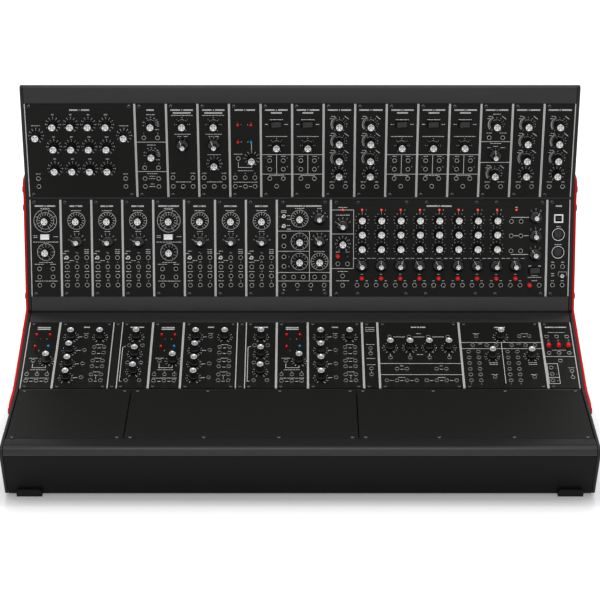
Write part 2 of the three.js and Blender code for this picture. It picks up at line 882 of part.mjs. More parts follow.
function mixerRow() {
  const kinds = ['controlVoltages', 'mixer', 'narrowBlank', 'attenuators'];
  return filledRow(rearRow, kinkGap / 2, [
    modules('mixer_modules_left', kinds, [
      free('mixer_knob', 1, 'knob', 0, 'knob'),
    ]),
    modules('mixer_modules_centre', kinds),
    modules('mixer_modules_right', ['controlVoltages', 'mixer', 'noise']),
    modules('attenuator_module', ['attenuatorRow']),
    modules('interface_module', ['interfaceUnit']),
    modules('switch_module', ['sequentialSwitch'], [
      free('switch_button', 0, 'button', 0, 'redPlastic'),
    ]),
  ]);
}

function blankRow() {
  return filledRow(frontRow, frontBand, [
    blank('blank_panel_left', 'sideBlank'),
    blank('blank_panel_centre', 'wideBlank'),
    blank('blank_panel_right', 'wideBlank'),
  ]);
}

// Feet wrap the lower edges of the lower case

function frontFoot() {
  return extrudeAcross([
    [footRun, -footHeight],
    [footRun, -footGap],
    meet(underside, -footGap, frontFace, -footGap),
    pointOn(frontFace, footRise, -footGap),
    pointOn(frontFace, footRise, -footLip),
    meet(underside, -footHeight, frontFace, -footLip),
  ], -footWidth / 2, footWidth / 2);
}

function rearFoot() {
  const rear = rearCorner[0];
  return extrudeAcross([
    [rear - footRun, -footHeight],
    [rear - footRun, -footGap],
    [rear + footGap, -footGap],
    [rear + footGap, footRise],
    [rear + footLip, footRise],
    [rear + footLip, -footHeight],
  ], -footWidth / 2, footWidth / 2);
}

function addFeet(group) {
  for (const [side, hand] of [['left', -1], ['right', 1]]) {
    const front = meshOf(`front_foot_${side}`, frontFoot(), 'rubber');
    const rear = meshOf(`rear_foot_${side}`, rearFoot(), 'rubber');
    const x = hand * (fieldWidth / 2 - footSideInset);
    front.position.x = x;
    rear.position.x = x;
    group.add(front, rear);
  }
}

// The upper case stands on its end: its front nose lies behind the lower case's rear nose,
// in line with the rear row
function upperCaseOffset() {
  const [lowBack, lowUp] = meet(rearRow, rearNoseRadius, rearFace, rearNoseRadius);
  const reach = rearNoseRadius + frontNoseRadius + noseGap;
  const target = [lowBack + reach * Math.cos(rearSlope), lowUp + reach * Math.sin(rearSlope)];
  const [back, up] = meet(frontFace, frontNoseRadius, frontRow, frontNoseRadius);
  const c = Math.cos(caseTilt);
  const s = Math.sin(caseTilt);
  return [target[0] - (back * c - up * s), target[1] - (back * s + up * c)];
}

function raised(edge) {
  const [back, up] = edge.origin;
  const c = Math.cos(caseTilt);
  const s = Math.sin(caseTilt);
  const [shiftBack, shiftUp] = upperCaseOffset();
  return edgeFrom([back * c - up * s + shiftBack, back * s + up * c + shiftUp], edge.angle + caseTilt);
}

// A corner of an outline, rounded towards its neighbours
function rounded(before, corner, after, radius) {
  const point = new THREE.Vector2(...corner);
  const toBefore = new THREE.Vector2(...before).sub(point).normalize();
  const toAfter = new THREE.Vector2(...after).sub(point).normalize();
  const half = Math.acos(toBefore.dot(toAfter)) / 2;
  const reach = radius / Math.tan(half);
  const curve = new THREE.QuadraticBezierCurve(
    point.clone().addScaledVector(toBefore, reach),
    point,
    point.clone().addScaledVector(toAfter, reach),
  );
  return curve.getPoints(cornerSteps).map(({ x, y }) => [x, y]);
}

function bracketOutline() {
  const upperFront = raised(frontRow);
  const upperRear = raised(rearRow);
  const start = frontRun - bracketLowerReach;
  const end = bracketUpperReach;
  const corners = [
    { at: pointOn(frontRow, start, 0), radius: bracketRound },
    { at: kink },
    { at: meet(rearRow, 0, upperFront, 0) },
    { at: upperRear.origin },
    { at: pointOn(upperRear, end, 0), radius: bracketRound },
    { at: pointOn(upperRear, end, bracketWidth), radius: bracketRound },
    { at: meet(upperFront, bracketWidth, upperRear, bracketWidth) },
    { at: meet(rearRow, bracketWidth, upperFront, bracketWidth), radius: bracketHeelRound },
    { at: meet(frontRow, bracketWidth, rearRow, bracketWidth) },
    { at: pointOn(frontRow, start, bracketWidth), radius: bracketRound },
  ];
  return corners.flatMap(({ at, radius }, index) => {
    const before = corners.at(index - 1).at;
    const after = corners[(index + 1) % corners.length].at;
    return radius ? rounded(before, at, after, radius) : [at];
  });
}

function bracketScrews() {
  const upperFront = raised(frontRow);
  const upperRear = raised(rearRow);
  const inset = bracketScrewInset;
  return [
    pointOn(frontRow, frontRun - bracketLowerReach + inset, inset),
    pointOn(frontRow, frontRun - inset / 2, inset),
    pointOn(rearRow, inset, inset),
    pointOn(rearRow, rearRun - inset * 2, inset),
    pointOn(upperFront, inset * 2, inset),
    pointOn(upperFront, frontRun - inset, inset),
    pointOn(upperRear, inset / 2, inset),
  ];
}

// A plate with its screw heads on the outer side, for the hand at +1 or -1
function bracket(hand) {
  const inner = fieldWidth / 2 + cheekGap + cheekThickness + seatClearance;
  const outer = inner + bracketThickness;
  const span = hand > 0 ? [inner, outer] : [-outer, -inner];
  const heads = bracketScrews().map(([back, up]) => {
    const height = bracketScrewHeight + fuse;
    const head = new THREE.CylinderGeometry(bracketScrewRadius, bracketScrewRadius, height, fixedSides);
    head.rotateZ(Math.PI / 2);
    head.translate(hand * (outer - fuse + height / 2), back, up);
    return solidOf(head);
  });
  return joined([extrudeAcross(bracketOutline(), ...span), ...heads]);
}

const lowerCase = buildCase('lower');
lowerCase.add(blankRow(), mixerRow());

const upperCase = buildCase('upper');
upperCase.add(oscillatorRow(), topRow());
upperCase.position.set(0, ...upperCaseOffset());
upperCase.rotation.x = caseTilt;

const synthesizer = new THREE.Group();
addFeet(synthesizer);
synthesizer.add(
  lowerCase,
  upperCase,
  meshOf('bracket_left', bracket(-1), 'bracket'),
  meshOf('bracket_right', bracket(1), 'bracket'),
);

// The origin lies on the floor, under the middle of the whole object
const bounds = new THREE.Box3().setFromObject(synthesizer, true);
const middle = bounds.getCenter(new THREE.Vector3());
synthesizer.position.set(-middle.x, -middle.y, -bounds.min.z);

export default synthesizer;
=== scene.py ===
import json
import math
import random

import bmesh
import bpy
from mathutils import Matrix, Vector

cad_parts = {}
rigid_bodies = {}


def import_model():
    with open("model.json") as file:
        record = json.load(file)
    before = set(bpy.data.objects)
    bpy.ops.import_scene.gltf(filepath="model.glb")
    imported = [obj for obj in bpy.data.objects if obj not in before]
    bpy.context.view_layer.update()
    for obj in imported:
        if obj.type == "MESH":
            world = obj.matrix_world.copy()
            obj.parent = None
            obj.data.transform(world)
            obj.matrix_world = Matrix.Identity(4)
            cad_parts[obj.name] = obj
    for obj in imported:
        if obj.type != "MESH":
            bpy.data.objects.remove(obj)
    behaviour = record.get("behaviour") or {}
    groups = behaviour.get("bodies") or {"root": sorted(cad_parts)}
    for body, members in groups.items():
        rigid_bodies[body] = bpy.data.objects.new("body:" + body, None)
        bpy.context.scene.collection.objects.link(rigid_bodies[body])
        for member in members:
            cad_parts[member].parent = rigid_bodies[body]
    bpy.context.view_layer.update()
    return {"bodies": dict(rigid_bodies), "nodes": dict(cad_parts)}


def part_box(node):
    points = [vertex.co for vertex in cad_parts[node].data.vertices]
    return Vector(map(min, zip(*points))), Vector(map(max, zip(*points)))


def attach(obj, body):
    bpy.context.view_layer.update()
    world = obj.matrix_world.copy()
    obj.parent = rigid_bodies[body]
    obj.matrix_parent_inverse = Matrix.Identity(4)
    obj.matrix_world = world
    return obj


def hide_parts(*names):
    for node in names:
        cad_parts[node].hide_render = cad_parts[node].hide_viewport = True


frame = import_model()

MM = 0.001
TURN = 2 * math.pi
CHANCE = random.Random(7)

# Panels and the grid that they follow
STEP = 5.08 * MM
PANEL_HEIGHT = 128.5 * MM
PANEL_THICKNESS = 2 * MM
SLIT = 0.3 * MM
PANEL_EDGE = 0.35 * MM
BLANK_INSET = 0.45 * MM
STRIPE_WIDTH = 1.15 * MM
BOARD_DEPTH = 12 * MM
BOARD_THICKNESS = 1.6 * MM
BOARD_INSET = 13 * MM
BOARD_MARGIN = 3 * MM
BOARD_EDGE = 0.2 * MM
POT_WIDTH = 11 * MM
JACK_BODY_WIDTH = 8 * MM

# Slopes of the four rows and of the two cases, in degrees
LOWER_TILT = 0
UPPER_TILT = 75
FRONT_SLOPE = 5
REAR_SLOPE = 20

# Print on the panels
PRINT_LIFT = 0.07 * MM
PRINT_ROOT = 0.05 * MM
RULE_WIDTH = 0.55 * MM
NOTE_WIDTH = 0.6 * MM
THIN_WIDTH = 0.3 * MM
HAIR_WIDTH = 0.2 * MM
WORD_LENGTH = (1.6 * MM, 4.4 * MM)
WORD_GAP = 0.7 * MM
TITLE_GAP = 1.1 * MM
TITLE_BAR = 0.6 * MM
TITLE_NUMBER = 2.3 * MM
TITLE_CLEAR = 2.2 * MM
NUMBER_HEIGHT = 1.6 * MM
LARGE_NUMBER = 1.7 * MM
SMALL_NUMBER = 1.5 * MM
LEAST_NUMBER = 1.4 * MM
NUMBER_RADIUS = 9.65
MARK_HEIGHT = 1.3 * MM
NUMBER_BOLD = 0.008
NUMBER_WELD = 0.0001
MITRE_LIMIT = 0.5
TICK_WIDTH = 0.38 * MM
EVEN = range(-150, 151, 30)
FINE = range(-154, 155, 22)

# Controls, in millimetres from the panel's face: levels of (radius, height)
KNOB_SKIRT = [(6.5, 0.5), (6.6, 0.9), (6.6, 3.2), (6.2, 4.2), (5.3, 5.4), (4.95, 12.4), (4.7, 12.85)]
KNOB_CAP = [(4.3, 12.6), (4.3, 13.2), (4.05, 13.5), (3.7, 13.5), (3.4, 13.3), (1.1, 13.0), (0.3, 12.98)]
KNOB_FLUTES = 14
FLUTE_SHARE = 0.045
NIB_SHARE = 0.15
NIB_HALF_ANGLE = math.radians(22)
CAP_SIDES = 40
CAP_RINGS = 2
# Angle and half width in degrees of the darker bands of painted shade across each cap's hollow
PAINTED_SHEEN_ANGLE = 45
PAINTED_SHEEN_WIDTH = 15
SELECTOR_SKIRT = [(8.0, 0.5), (8.2, 0.9), (8.2, 3.2), (7.9, 4.1), (7.2, 4.8), (5.8, 5.5), (4.6, 6.0)]
SELECTOR_HUB = [(4.2, 5.4), (3.7, 6.6), (3.3, 13.2), (3.2, 13.6)]
SELECTOR_CAP = [(3.05, 13.3), (3.05, 14.1), (2.9, 14.4), (2.6, 14.4), (2.4, 14.25), (0.9, 14.1), (0.3, 14.08)]
POINTER_START = 3.0
POINTER_BEND = 5.4
POINTER_END = 7.8
POINTER_WIDTH = 0.45
POINTER_LOW = 1.6
POINTER_HIGH = (4.8, 7.4, 12.6)
JACK_NUT = [(2.85, -0.2), (2.85, 0.8), (2.65, 1.15), (2.45, 1.15), (2.35, 1.0), (2.35, -0.2)]
JACK_HOLE = [(2.45, -0.15), (2.45, 0.12)]
SCREW_HEAD = [(2.45, -0.2), (2.45, 0.25), (2.1, 0.85), (1.65, 1.25), (1.5, 1.3)]
SCREW_SOCKET = [(1.4, 1.0), (1.4, 1.36)]
FLAT_HEAD = [(3.2, -0.2), (3.2, 0.1), (2.9, 0.2), (1.9, 0.2)]
FLAT_SOCKET = [(1.6, 0.1), (1.6, 0.26)]
BUTTON = [(2.85, -0.3), (2.85, 2.6), (2.55, 3.4), (2.0, 4.7), (1.5, 5.0), (0.4, 5.05)]
BUTTON_COLLAR = [(3.7, -0.2), (3.7, 0.5), (3.4, 0.8), (3.1, 0.8), (3.1, -0.2)]
LEVER_STEM = [(1.35, -0.3), (1.35, 5.7)]
LEVER_TIP = [(1.4, 5.6), (1.4, 7.0), (1.25, 7.5), (0.85, 7.75), (0.2, 7.8)]
LEVER_COLLAR = [(2.1, -0.2), (2.1, 0.35), (1.85, 0.6), (1.55, 0.6), (1.55, -0.2)]
LAMP = [(1.4, -0.2), (1.4, 0.8), (1.2, 1.3), (0.7, 1.6), (0.2, 1.7)]
TALL_LAMP = [(1.3, -0.2), (1.3, 4.6), (1.1, 5.4), (0.7, 5.9), (0.2, 6.0)]
TOGGLE_NUT = [(2.9, -0.2), (2.9, 1.7), (2.6, 2.0), (1.5, 2.0), (1.5, -0.2)]
TOGGLE_BAT = [(0.9, -0.5), (0.95, 3.0), (1.35, 8.2), (1.15, 8.8), (0.4, 9.0)]
TOGGLE_LEAN = Matrix.Rotation(math.radians(-12), 4, "Y")
ROCKER_LENGTH = 13
ROCKER_WIDTH = 7
ROCKER_PROUD = 3
ROCKER_ROOT = 1.6
ROCKER_PIVOT = 1
ROCKER_DIP = 0.9
ROCKER_TILT = math.radians(8)
ROCKER_STEPS = 8
# Faces at the rocker's pressed right end that take a darker finish: painted shade
ROCKER_PAINTED_SHADE = (3, 4)
BEZEL_LENGTH = 16
BEZEL_WIDTH = 9.6
BEZEL_HEIGHT = 0.8
BEZEL_WALL = 0.9
RIM_ROOT = -0.3
SOCKET_RING = [(8.35, -0.2), (8.35, 0.8), (8.2, 1.0), (7.7, 1.0), (7.5, 0.8), (7.5, -0.2)]
SOCKET_FLOOR = [(7.6, -0.15), (7.6, 0.12)]
SOCKET_CORE = [(5.8, -0.1), (5.8, 0.35)]
SOCKET_PIN = [(0.75, 0.3), (0.75, 0.5)]
SOCKET_PIN_RADIUS = 4.6
DATA_WIDTH = 12
DATA_HEIGHT = 11.2
DATA_WALL = 1.7
DATA_PROUD = 1
DATA_WELL = (10 * MM, 9.2 * MM)
DATA_TONGUE = (5.6 * MM, 3.2 * MM)
DATA_TONGUE_TOP = 0.9 * MM
DATA_FLOOR = 0.2 * MM

FINE_ROUND = 40
ROUND = 32
SMALL_ROUND = 20
CIRCLE_SIDES = 64
WELD = 0.002 * MM
TOUCH = 0.1 * MM
SCREW_ROWS = (0.975, 0.026)
SHARP_ANGLE = math.radians(34)


def linear(*shade):
    """A colour written as it shows on a screen, 0 to 255, in the renderer's own scale."""
    return tuple(((c / 255 + 0.055) / 1.055) ** 2.4 if c > 10 else c / 255 / 12.92 for c in shade)


class Graph:
    """The nodes of a material or a world."""

    def __init__(self, owner):
        owner.use_nodes = True
        self.nodes = owner.node_tree.nodes
        self.links = owner.node_tree.links

    def feed(self, node, inputs):
        """Sets a node's inputs, by name or number, to values or to other nodes' outputs."""
        for key, value in inputs.items():
            if isinstance(value, bpy.types.NodeSocket):
                self.links.new(value, node.inputs[key])
            else:
                node.inputs[key].default_value = value

    def add(self, kind, inputs=None, **settings):
        """Makes a node and gives its outputs."""
        node = self.nodes.new("ShaderNode" + kind)
        for key, value in settings.items():
            setattr(node, key, value)
        self.feed(node, inputs or {})
        return node.outputs


def surface(name, shade, roughness, metallic, grain, relief, spread, specular, stretch=(1, 1, 1)):
    """A finish with fine grain in its colour, gloss and relief, in the object's own place."""
    made = bpy.data.materials.new(name)
    graph = Graph(made)
    colour = linear(*shade)
    where = graph.add("TexCoord")["Object"]
    place = graph.add("Mapping", {"Vector": where, "Scale": stretch})["Vector"]
    noise = graph.add("TexNoise", {"Vector": place, "Scale": grain, "Detail": 5})["Fac"]
    tint = graph.add("Mix", {
        "A": (*[c * (1 - spread) for c in colour], 1), "B": (*[min(1, c * (1 + spread)) for c in colour], 1),
        "Factor": noise}, data_type="RGBA")["Result"]
    gloss = graph.add("MapRange", {
        "To Min": roughness * (1 - spread), "To Max": roughness * (1 + spread), "Value": noise})["Result"]
    bump = graph.add("Bump", {"Strength": 1, "Distance": relief * MM, "Height": noise})["Normal"]
    graph.feed(graph.nodes["Principled BSDF"], {
        "Metallic": metallic, "Specular IOR Level": specular,
        "Base Color": tint, "Roughness": gloss, "Normal": bump})
    return made


# Ways in which a grain is drawn out, by its scale along x, y and z
ALONG = (0.05, 1, 1)
BRUSHED = (12, 1, 1)
UPRIGHT = (1, 0.1, 0.1)

# What the coloured plastics share, from their roughness to their specular level
PLASTIC = (0.35, 0, 900, 0.006, 0.05, 0.3)

# Each finish: material, colour, roughness, metallic, grain, relief, spread, specular level and drawn grain
FINISHES = {
    "case": ("case_paint", (11, 11, 11), 0.5, 0, 1500, 0.03, 0.12, 0.1),
    "trim": ("trim_metal", (28, 28, 28), 0.36, 0, 260, 0.01, 0.08, 0.3, ALONG),
    # A lighter, duller copy of the trim for the lower front rail's upturned faces: painted light in place of
    # the sheen they would show
    "lip": ("lip_metal", (33, 33, 33), 0.45, 0, 260, 0.01, 0.08, 0.06, ALONG),
    # A darker copy of the trim for the centre rail, between each case's two rows: painted shade
    "rail": ("rail_metal", (20, 20, 20), 0.45, 0, 260, 0.01, 0.08, 0.25, ALONG),
    "cheek": ("cheek_paint", (19, 19, 19), 0.4, 0, 1500, 0.02, 0.1, 0.22),
    "panel": ("panel_black", (23, 23, 22), 0.55, 0, 2200, 0.02, 0.1, 0.1),
    "blank": ("blank_black", (27, 27, 26), 0.55, 0, 2200, 0.03, 0.1, 0.07),
    "print": ("print_white", (226, 226, 224), 0.6, 0, 1800, 0.005, 0.05, 0.5),
    "stripe": ("stripe_grey", (204, 204, 203), 0.6, 0, 900, 0.005, 0.04, 0.15, UPRIGHT),
    "red_paint": ("red_powder_coat", (188, 16, 12), 0.5, 0, 1800, 0.03, 0.07, 0.16),
    "rubber": ("foot_rubber", (24, 24, 24), 0.85, 0, 1200, 0.04, 0.15, 0.2),
    "knob": ("knob_black", (16, 16, 16), 0.25, 0, 1500, 0.01, 0.12, 0.4),
    "cap": ("cap_aluminium", (212, 212, 212), 0.32, 0.5, 700, 0.02, 0.12, 0.5, BRUSHED),
    # A darker copy of the cap's aluminium: painted shade for the bands across its hollow
    "cap_painted_shade": ("cap_aluminium_painted_shade", (128, 128, 129), 0.32, 0.5, 700, 0.02, 0.2, 0.5, BRUSHED),
    "disc": ("disc_gloss_black", (17, 17, 17), 0.13, 0, 600, 0.002, 0.15, 0.32),
    "nut": ("nut_nickel", (212, 212, 209), 0.28, 0.85, 1600, 0.01, 0.12, 0.5),
    # Near black: the real black of the rocker bezels, and painted shade in holes, screw recesses and socket
    # wells
    "hole": ("hole_black", (5, 5, 5), 0.8, 0, 1500, 0.01, 0.2, 0.1),
    "screw": ("screw_black", (84, 84, 84), 0.25, 0.7, 1500, 0.01, 0.12, 0.5),
    "red": ("red_plastic", (250, 24, 20), *PLASTIC),
    # A darker copy of the red plastic: painted shade on the lower part of the red levers
    "red_painted_shade": ("red_stem_painted_shade", (128, 8, 8), *PLASTIC),
    "blue": ("blue_plastic", (0, 158, 210), *PLASTIC),
    # A darker copy of the blue plastic: painted shade on the lower part of the blue lever
    "blue_painted_shade": ("blue_stem_painted_shade", (0, 70, 104), *PLASTIC),
    "white": ("white_plastic", (252, 252, 254), 0.34, 0, 900, 0.006, 0.03, 0.5),
    "black": ("black_plastic", (19, 19, 19), 0.36, 0, 1600, 0.012, 0.12, 0.3),
    "switch": ("switch_plastic", (33, 33, 33), 0.4, 0, 1600, 0.012, 0.1, 0.3),
    "steel": ("bright_steel", (190, 190, 190), 0.22, 0.85, 800, 0.008, 0.1, 0.5),
    "lamp": ("lamp_red", (255, 62, 40), 0.2, 0, 700, 0.004, 0.05, 0.5),
    "dim": ("lamp_unlit", (96, 108, 120), 0.2, 0, 700, 0.004, 0.1, 0.5),
    "board": ("board_green", (28, 74, 44), 0.45, 0, 500, 0.01, 0.2, 0.5),
}
GLOW = (255, 60, 36)
GLOW_STRENGTH = 0.7


def materials():
    """Every finish of the object, by name."""
    made = {key: surface(*row) for key, row in FINISHES.items()}
    shader = made["lamp"].node_tree.nodes["Principled BSDF"]
    glow = {"Emission Color": (*linear(*GLOW), 1), "Emission Strength": GLOW_STRENGTH}
    Graph(made["lamp"]).feed(shader, glow)
    return made


FINISH = materials()


def ring_of(sides, share=lambda angle: 1):
    """A circle of radius 1, whose radius can vary with its angle."""
    ring = [(math.cos(TURN * k / sides), math.sin(TURN * k / sides)) for k in range(sides)]
    return [(x * share(math.atan2(y, x)), y * share(math.atan2(y, x))) for x, y in ring]


def fluted(angle):
    return 1 - FLUTE_SHARE * max(0.0, math.cos(KNOB_FLUTES * angle))


def nibbed(angle):
    """A pointed nib at the top."""
    return 1 + NIB_SHARE * max(0.0, 1 - abs(angle - math.pi / 2) / NIB_HALF_ANGLE)


def band(low, high, count):
    """The faces between two rings of points, given each ring's first point."""
    return [[low + k, low + (k + 1) % count, high + (k + 1) % count, high + k] for k in range(count)]


def loft(outline, levels):
    """An outline carried up through levels of (scale, height), closed at both ends."""
    count = len(outline)
    last = count * (len(levels) - 1)
    points = [(x * scale * MM, y * scale * MM, height * MM) for scale, height in levels for x, y in outline]
    faces = [list(range(count))[::-1], list(range(last, last + count))]
    for low in range(0, last, count):
        faces[-1:-1] = band(low, low + count, count)
    return points, faces


def turned(levels, sides=SMALL_ROUND):
    return loft(ring_of(sides), levels)


def hoop(levels, sides=SMALL_ROUND, unit=MM):
    """A ring whose section closes on itself, from levels of (radius, height)."""
    points = [(x * radius * unit, y * radius * unit, height * unit)
              for radius, height in levels for x, y in ring_of(sides)]
    faces = []
    for ring in range(len(levels)):
        faces += band(ring * sides, (ring + 1) % len(levels) * sides, sides)
    return points, faces


def slab(low, high, edge=0):
    """A box whose upper rim is chamfered."""
    (ax, ay, az), (bx, by, bz) = low, high
    points = []
    for inset, z in ((0, az), (0, bz - edge), (edge, bz)):
        points += [(ax + inset, ay + inset, z), (bx - inset, ay + inset, z),
                   (bx - inset, by - inset, z), (ax + inset, by - inset, z)]
    return points, [[3, 2, 1, 0], [8, 9, 10, 11], *band(0, 4, 4), *band(4, 8, 4)]


def plate(width, height, low, high, edge=0):
    """A slab round the middle of its place."""
    return slab((-width / 2, -height / 2, low), (width / 2, height / 2, high), edge)


def ribbon(path, width):
    """A flat printed band along a path of (x, y), mitred at its corners."""
    path = [Vector(p) for p in path]
    points = []
    for k, p in enumerate(path):
        before = (p - path[k - 1]).normalized() if k else (path[1] - p).normalized()
        after = (path[k + 1] - p).normalized() if k + 1 < len(path) else before
        along = (before + after).normalized()
        side = Vector((-along.y, along.x)) * width / 2 / max(MITRE_LIMIT, along.dot(after))
        left, right = p + side, p - side
        points += [(*left, -PRINT_ROOT), (*right, -PRINT_ROOT), (*right, PRINT_LIFT), (*left, PRINT_LIFT)]
    last = 4 * (len(path) - 1)
    faces = [[3, 2, 1, 0], [last, last + 1, last + 2, last + 3]]
    for low in range(0, last, 4):
        faces += band(low, low + 4, 4)
    return points, faces


def span(points):
    """The low and high corners of the box round some points."""
    return [Vector([pick(p[k] for p in points) for k in range(3)]) for pick in (min, max)]


def on_arc(radius, degrees):
    """A point at an angle from the top, clockwise."""
    angle = math.radians(degrees)
    return Vector((radius * math.sin(angle), radius * math.cos(angle)))


GLYPHS = {}


def glyph(text):
    """A plain word or number as a closed flat shape of height 1, centred."""
    if text not in GLYPHS:
        curve = bpy.data.curves.new("glyph", "FONT")
        curve.body = text
        curve.resolution_u = 2
        curve.extrude = 0.5
        curve.offset = NUMBER_BOLD
        carrier = bpy.data.objects.new("glyph", curve)
        mesh = bpy.data.meshes.new_from_object(carrier)
        form = bmesh.new()
        form.from_mesh(mesh)
        bmesh.ops.remove_doubles(form, verts=form.verts, dist=NUMBER_WELD)
        points = [v.co.copy() for v in form.verts]
        faces = [[v.index for v in f.verts] for f in form.faces]
        form.free()
        bpy.data.objects.remove(carrier)
        bpy.data.curves.remove(curve)
        bpy.data.meshes.remove(mesh)
        low, high = span(points)
        middle = (low + high) / 2
        height = high.y - low.y
        GLYPHS[text] = ([((p.x - middle.x) / height, (p.y - middle.y) / height, p.z) for p in points], faces)
    return GLYPHS[text]


class Form:
    """The closed shapes of one piece, each painted with one of its finishes."""

    def __init__(self):
        self.points = []
        self.faces = []
        self.paints = []

    def add(self, place, shape, paint=0):
        points, faces = shape
        first = len(self.points)
        self.points += [place @ Vector(p) for p in points]
        self.faces += [[first + i for i in face] for face in faces]
        self.paints += paint if isinstance(paint, list) else [paint] * len(faces)

    def piece(self, name, body, slot, finishes, stands_for=()):
        mesh = bpy.data.meshes.new(name)
        mesh.from_pydata(self.points, [], self.faces)
        mesh.polygons.foreach_set("material_index", self.paints)
        return finished(mesh, name, body, finishes, stands_for)


def finished(mesh, name, body, finishes, stands_for):
    """Puts a mesh into the scene as a piece of the object, with its faces pointing out."""
    form = bmesh.new()
    form.from_mesh(mesh)
    bmesh.ops.recalc_face_normals(form, faces=form.faces)
    form.to_mesh(mesh)
    form.free()
    mesh.shade_smooth()
    mesh.set_sharp_from_angle(angle=SHARP_ANGLE)
    for finish in finishes:
        mesh.materials.append(FINISH[finish])
    piece = bpy.data.objects.new(name, mesh)
    bpy.context.scene.collection.objects.link(piece)
    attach(piece, body)
    if stands_for:
        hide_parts(*stands_for)
    return piece


# The pieces of a module: what each is called, its slot and its finishes
KINDS = {
    "panel": ("panel", ["panel"]),
    "blank": ("panel", ["blank"]),
    "board": ("board", ["board", "black"]),
    "stripes": (None, ["stripe"]),
    "print": (None, ["print"]),
    "screws": ("steel", ["screw", "hole"]),
    "jacks": ("steel", ["nut", "hole"]),
    "knob": ("knob", ["knob", "cap", "cap_painted_shade"]),
    "selector": ("selector", ["disc", "cap", "cap_painted_shade", "print"]),
    "rocker": ("black_plastic", ["switch", "black"]),
    "white_rocker": ("white_plastic", ["white", "switch"]),
    "bezels": ("black_plastic", ["hole"]),
    "lever": ("red_plastic", ["red", "red_painted_shade"]),
    "blue_levers": (None, ["blue", "blue_painted_shade"]),
    "button": ("red_plastic", ["red"]),
    "dark_buttons": ("black_plastic", ["black"]),
    "collars": ("black_plastic", ["black"]),
    "toggle": ("steel", ["steel"]),
    "nuts": ("steel", ["steel"]),
    "lamps": (None, ["lamp"]),
    "dim_lamps": (None, ["dim"]),
    "sockets": ("steel", ["steel", "hole", "black", "white"]),
}


def add_cap(form, place, outline, levels, turn):
    """A turned metal cap, its hollow crossed by two darker bands of painted shade that stand in for the sheen
    of radial brushing.
    """
    points, faces = loft(outline, levels)
    paints = [1] * len(faces)
    first = 1 + CAP_SIDES * (len(levels) - 1 - CAP_RINGS)
    for k in range(CAP_RINGS * CAP_SIDES):
        angle = turn + 360 * (k % CAP_SIDES + 0.5) / CAP_SIDES
        # These faces take the darker copy: a band of painted shade
        if abs(angle % 90 - PAINTED_SHEEN_ANGLE) < PAINTED_SHEEN_WIDTH:
            paints[first + k] = 2
    form.add(place, (points, faces), paints)


def add_knob(form, place, turn=0.0):
    place = place @ Matrix.Rotation(math.radians(turn), 4, "Z")
    form.add(place, loft(ring_of(KNOB_FLUTES * 4, fluted), KNOB_SKIRT))
    add_cap(form, place, ring_of(CAP_SIDES, nibbed), KNOB_CAP, turn)


def add_selector(form, place, pointer):
    place = place @ Matrix.Rotation(-math.radians(pointer), 4, "Z")
    form.add(place, turned(SELECTOR_SKIRT, FINE_ROUND))
    form.add(place, turned(SELECTOR_HUB, ROUND))
    add_cap(form, place, ring_of(CAP_SIDES), SELECTOR_CAP, -pointer)
    profile = [(POINTER_START, POINTER_LOW), (POINTER_END, POINTER_LOW), (POINTER_END, POINTER_HIGH[0]),
               (POINTER_BEND, POINTER_HIGH[1]), (POINTER_START, POINTER_HIGH[2])]
    points = [(side * POINTER_WIDTH / 2 * MM, y * MM, z * MM) for side in (-1, 1) for y, z in profile]
    faces = [[0, 1, 2, 3, 4], [9, 8, 7, 6, 5], *band(0, 5, 5)]
    form.add(place, (points, faces), 3)


def add_rocker(form, place):
    """A rocker with a hollow back, tilted about its pivot."""
    half = ROCKER_LENGTH / 2
    low = -ROCKER_ROOT + ROCKER_PIVOT
    high = ROCKER_PROUD + ROCKER_PIVOT
    outline = [(-half, low), (half, low)]
    for k in range(ROCKER_STEPS + 1):
        along = 1 - 2 * k / ROCKER_STEPS
        outline.append((half * along, high - ROCKER_DIP * (1 - along ** 2)))
    count = len(outline)
    points = [(x * MM, side * ROCKER_WIDTH / 2 * MM, z * MM) for side in (-1, 1) for x, z in outline]
    faces = [list(range(count)), list(range(count, 2 * count))[::-1], *band(0, count, count)]
    place = place @ Matrix.Translation((0, 0, -ROCKER_PIVOT * MM)) @ Matrix.Rotation(ROCKER_TILT, 4, "Y")
    # The faces at the pressed right end take the second, darker finish: painted shade
    form.add(place, (points, faces), [int(k in ROCKER_PAINTED_SHADE) for k in range(len(faces))])


def rim(length, width, wall, high):
    """A rectangular rim with chamfered upper edges."""
    edge = wall / 3
    brow = high - edge
    section = [(0, RIM_ROOT), (0, brow), (edge, high), (wall - edge, high), (wall, brow), (wall, RIM_ROOT)]
    points, faces = [], []
    for ring, (inset, z) in enumerate(section):
        x, y = length / 2 - inset, width / 2 - inset
        points += [(px * MM, py * MM, z * MM) for px, py in ((-x, -y), (x, -y), (x, y), (-x, y))]
        faces += band(ring * 4, (ring + 1) % len(section) * 4, 4)
    return points, faces


def add_screw(form, place, turn=0, head=SCREW_HEAD, socket=SCREW_SOCKET, sides=SMALL_ROUND):
    form.add(place, turned(head, sides))
    # The recess is a dark disc on the head: painted shade
    form.add(place @ Matrix.Rotation(math.radians(turn), 4, "Z"), turned(socket, 6), 1)


def add_lever(form, place):
    form.add(place, turned(LEVER_TIP))
    # The stem takes the second finish, a darker copy: painted shade below the lit tip
    form.add(place, turned(LEVER_STEM), 1)


class Module:
    """One module node: its pieces, and where its units draw their controls and print."""

    def __init__(self, node, row):
        self.node = node
        self.row = row
        self.forms = {}
        self.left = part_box(node)[0].x - SLIT / 2 - row.translation.x

    def form(self, kind):
        return self.forms.setdefault(kind, Form())

    def make(self):
        for kind, form in self.forms.items():
            slot, finishes = KINDS[kind]
            form.piece(f"{self.node}_{kind}", "root", slot, finishes, [self.node])


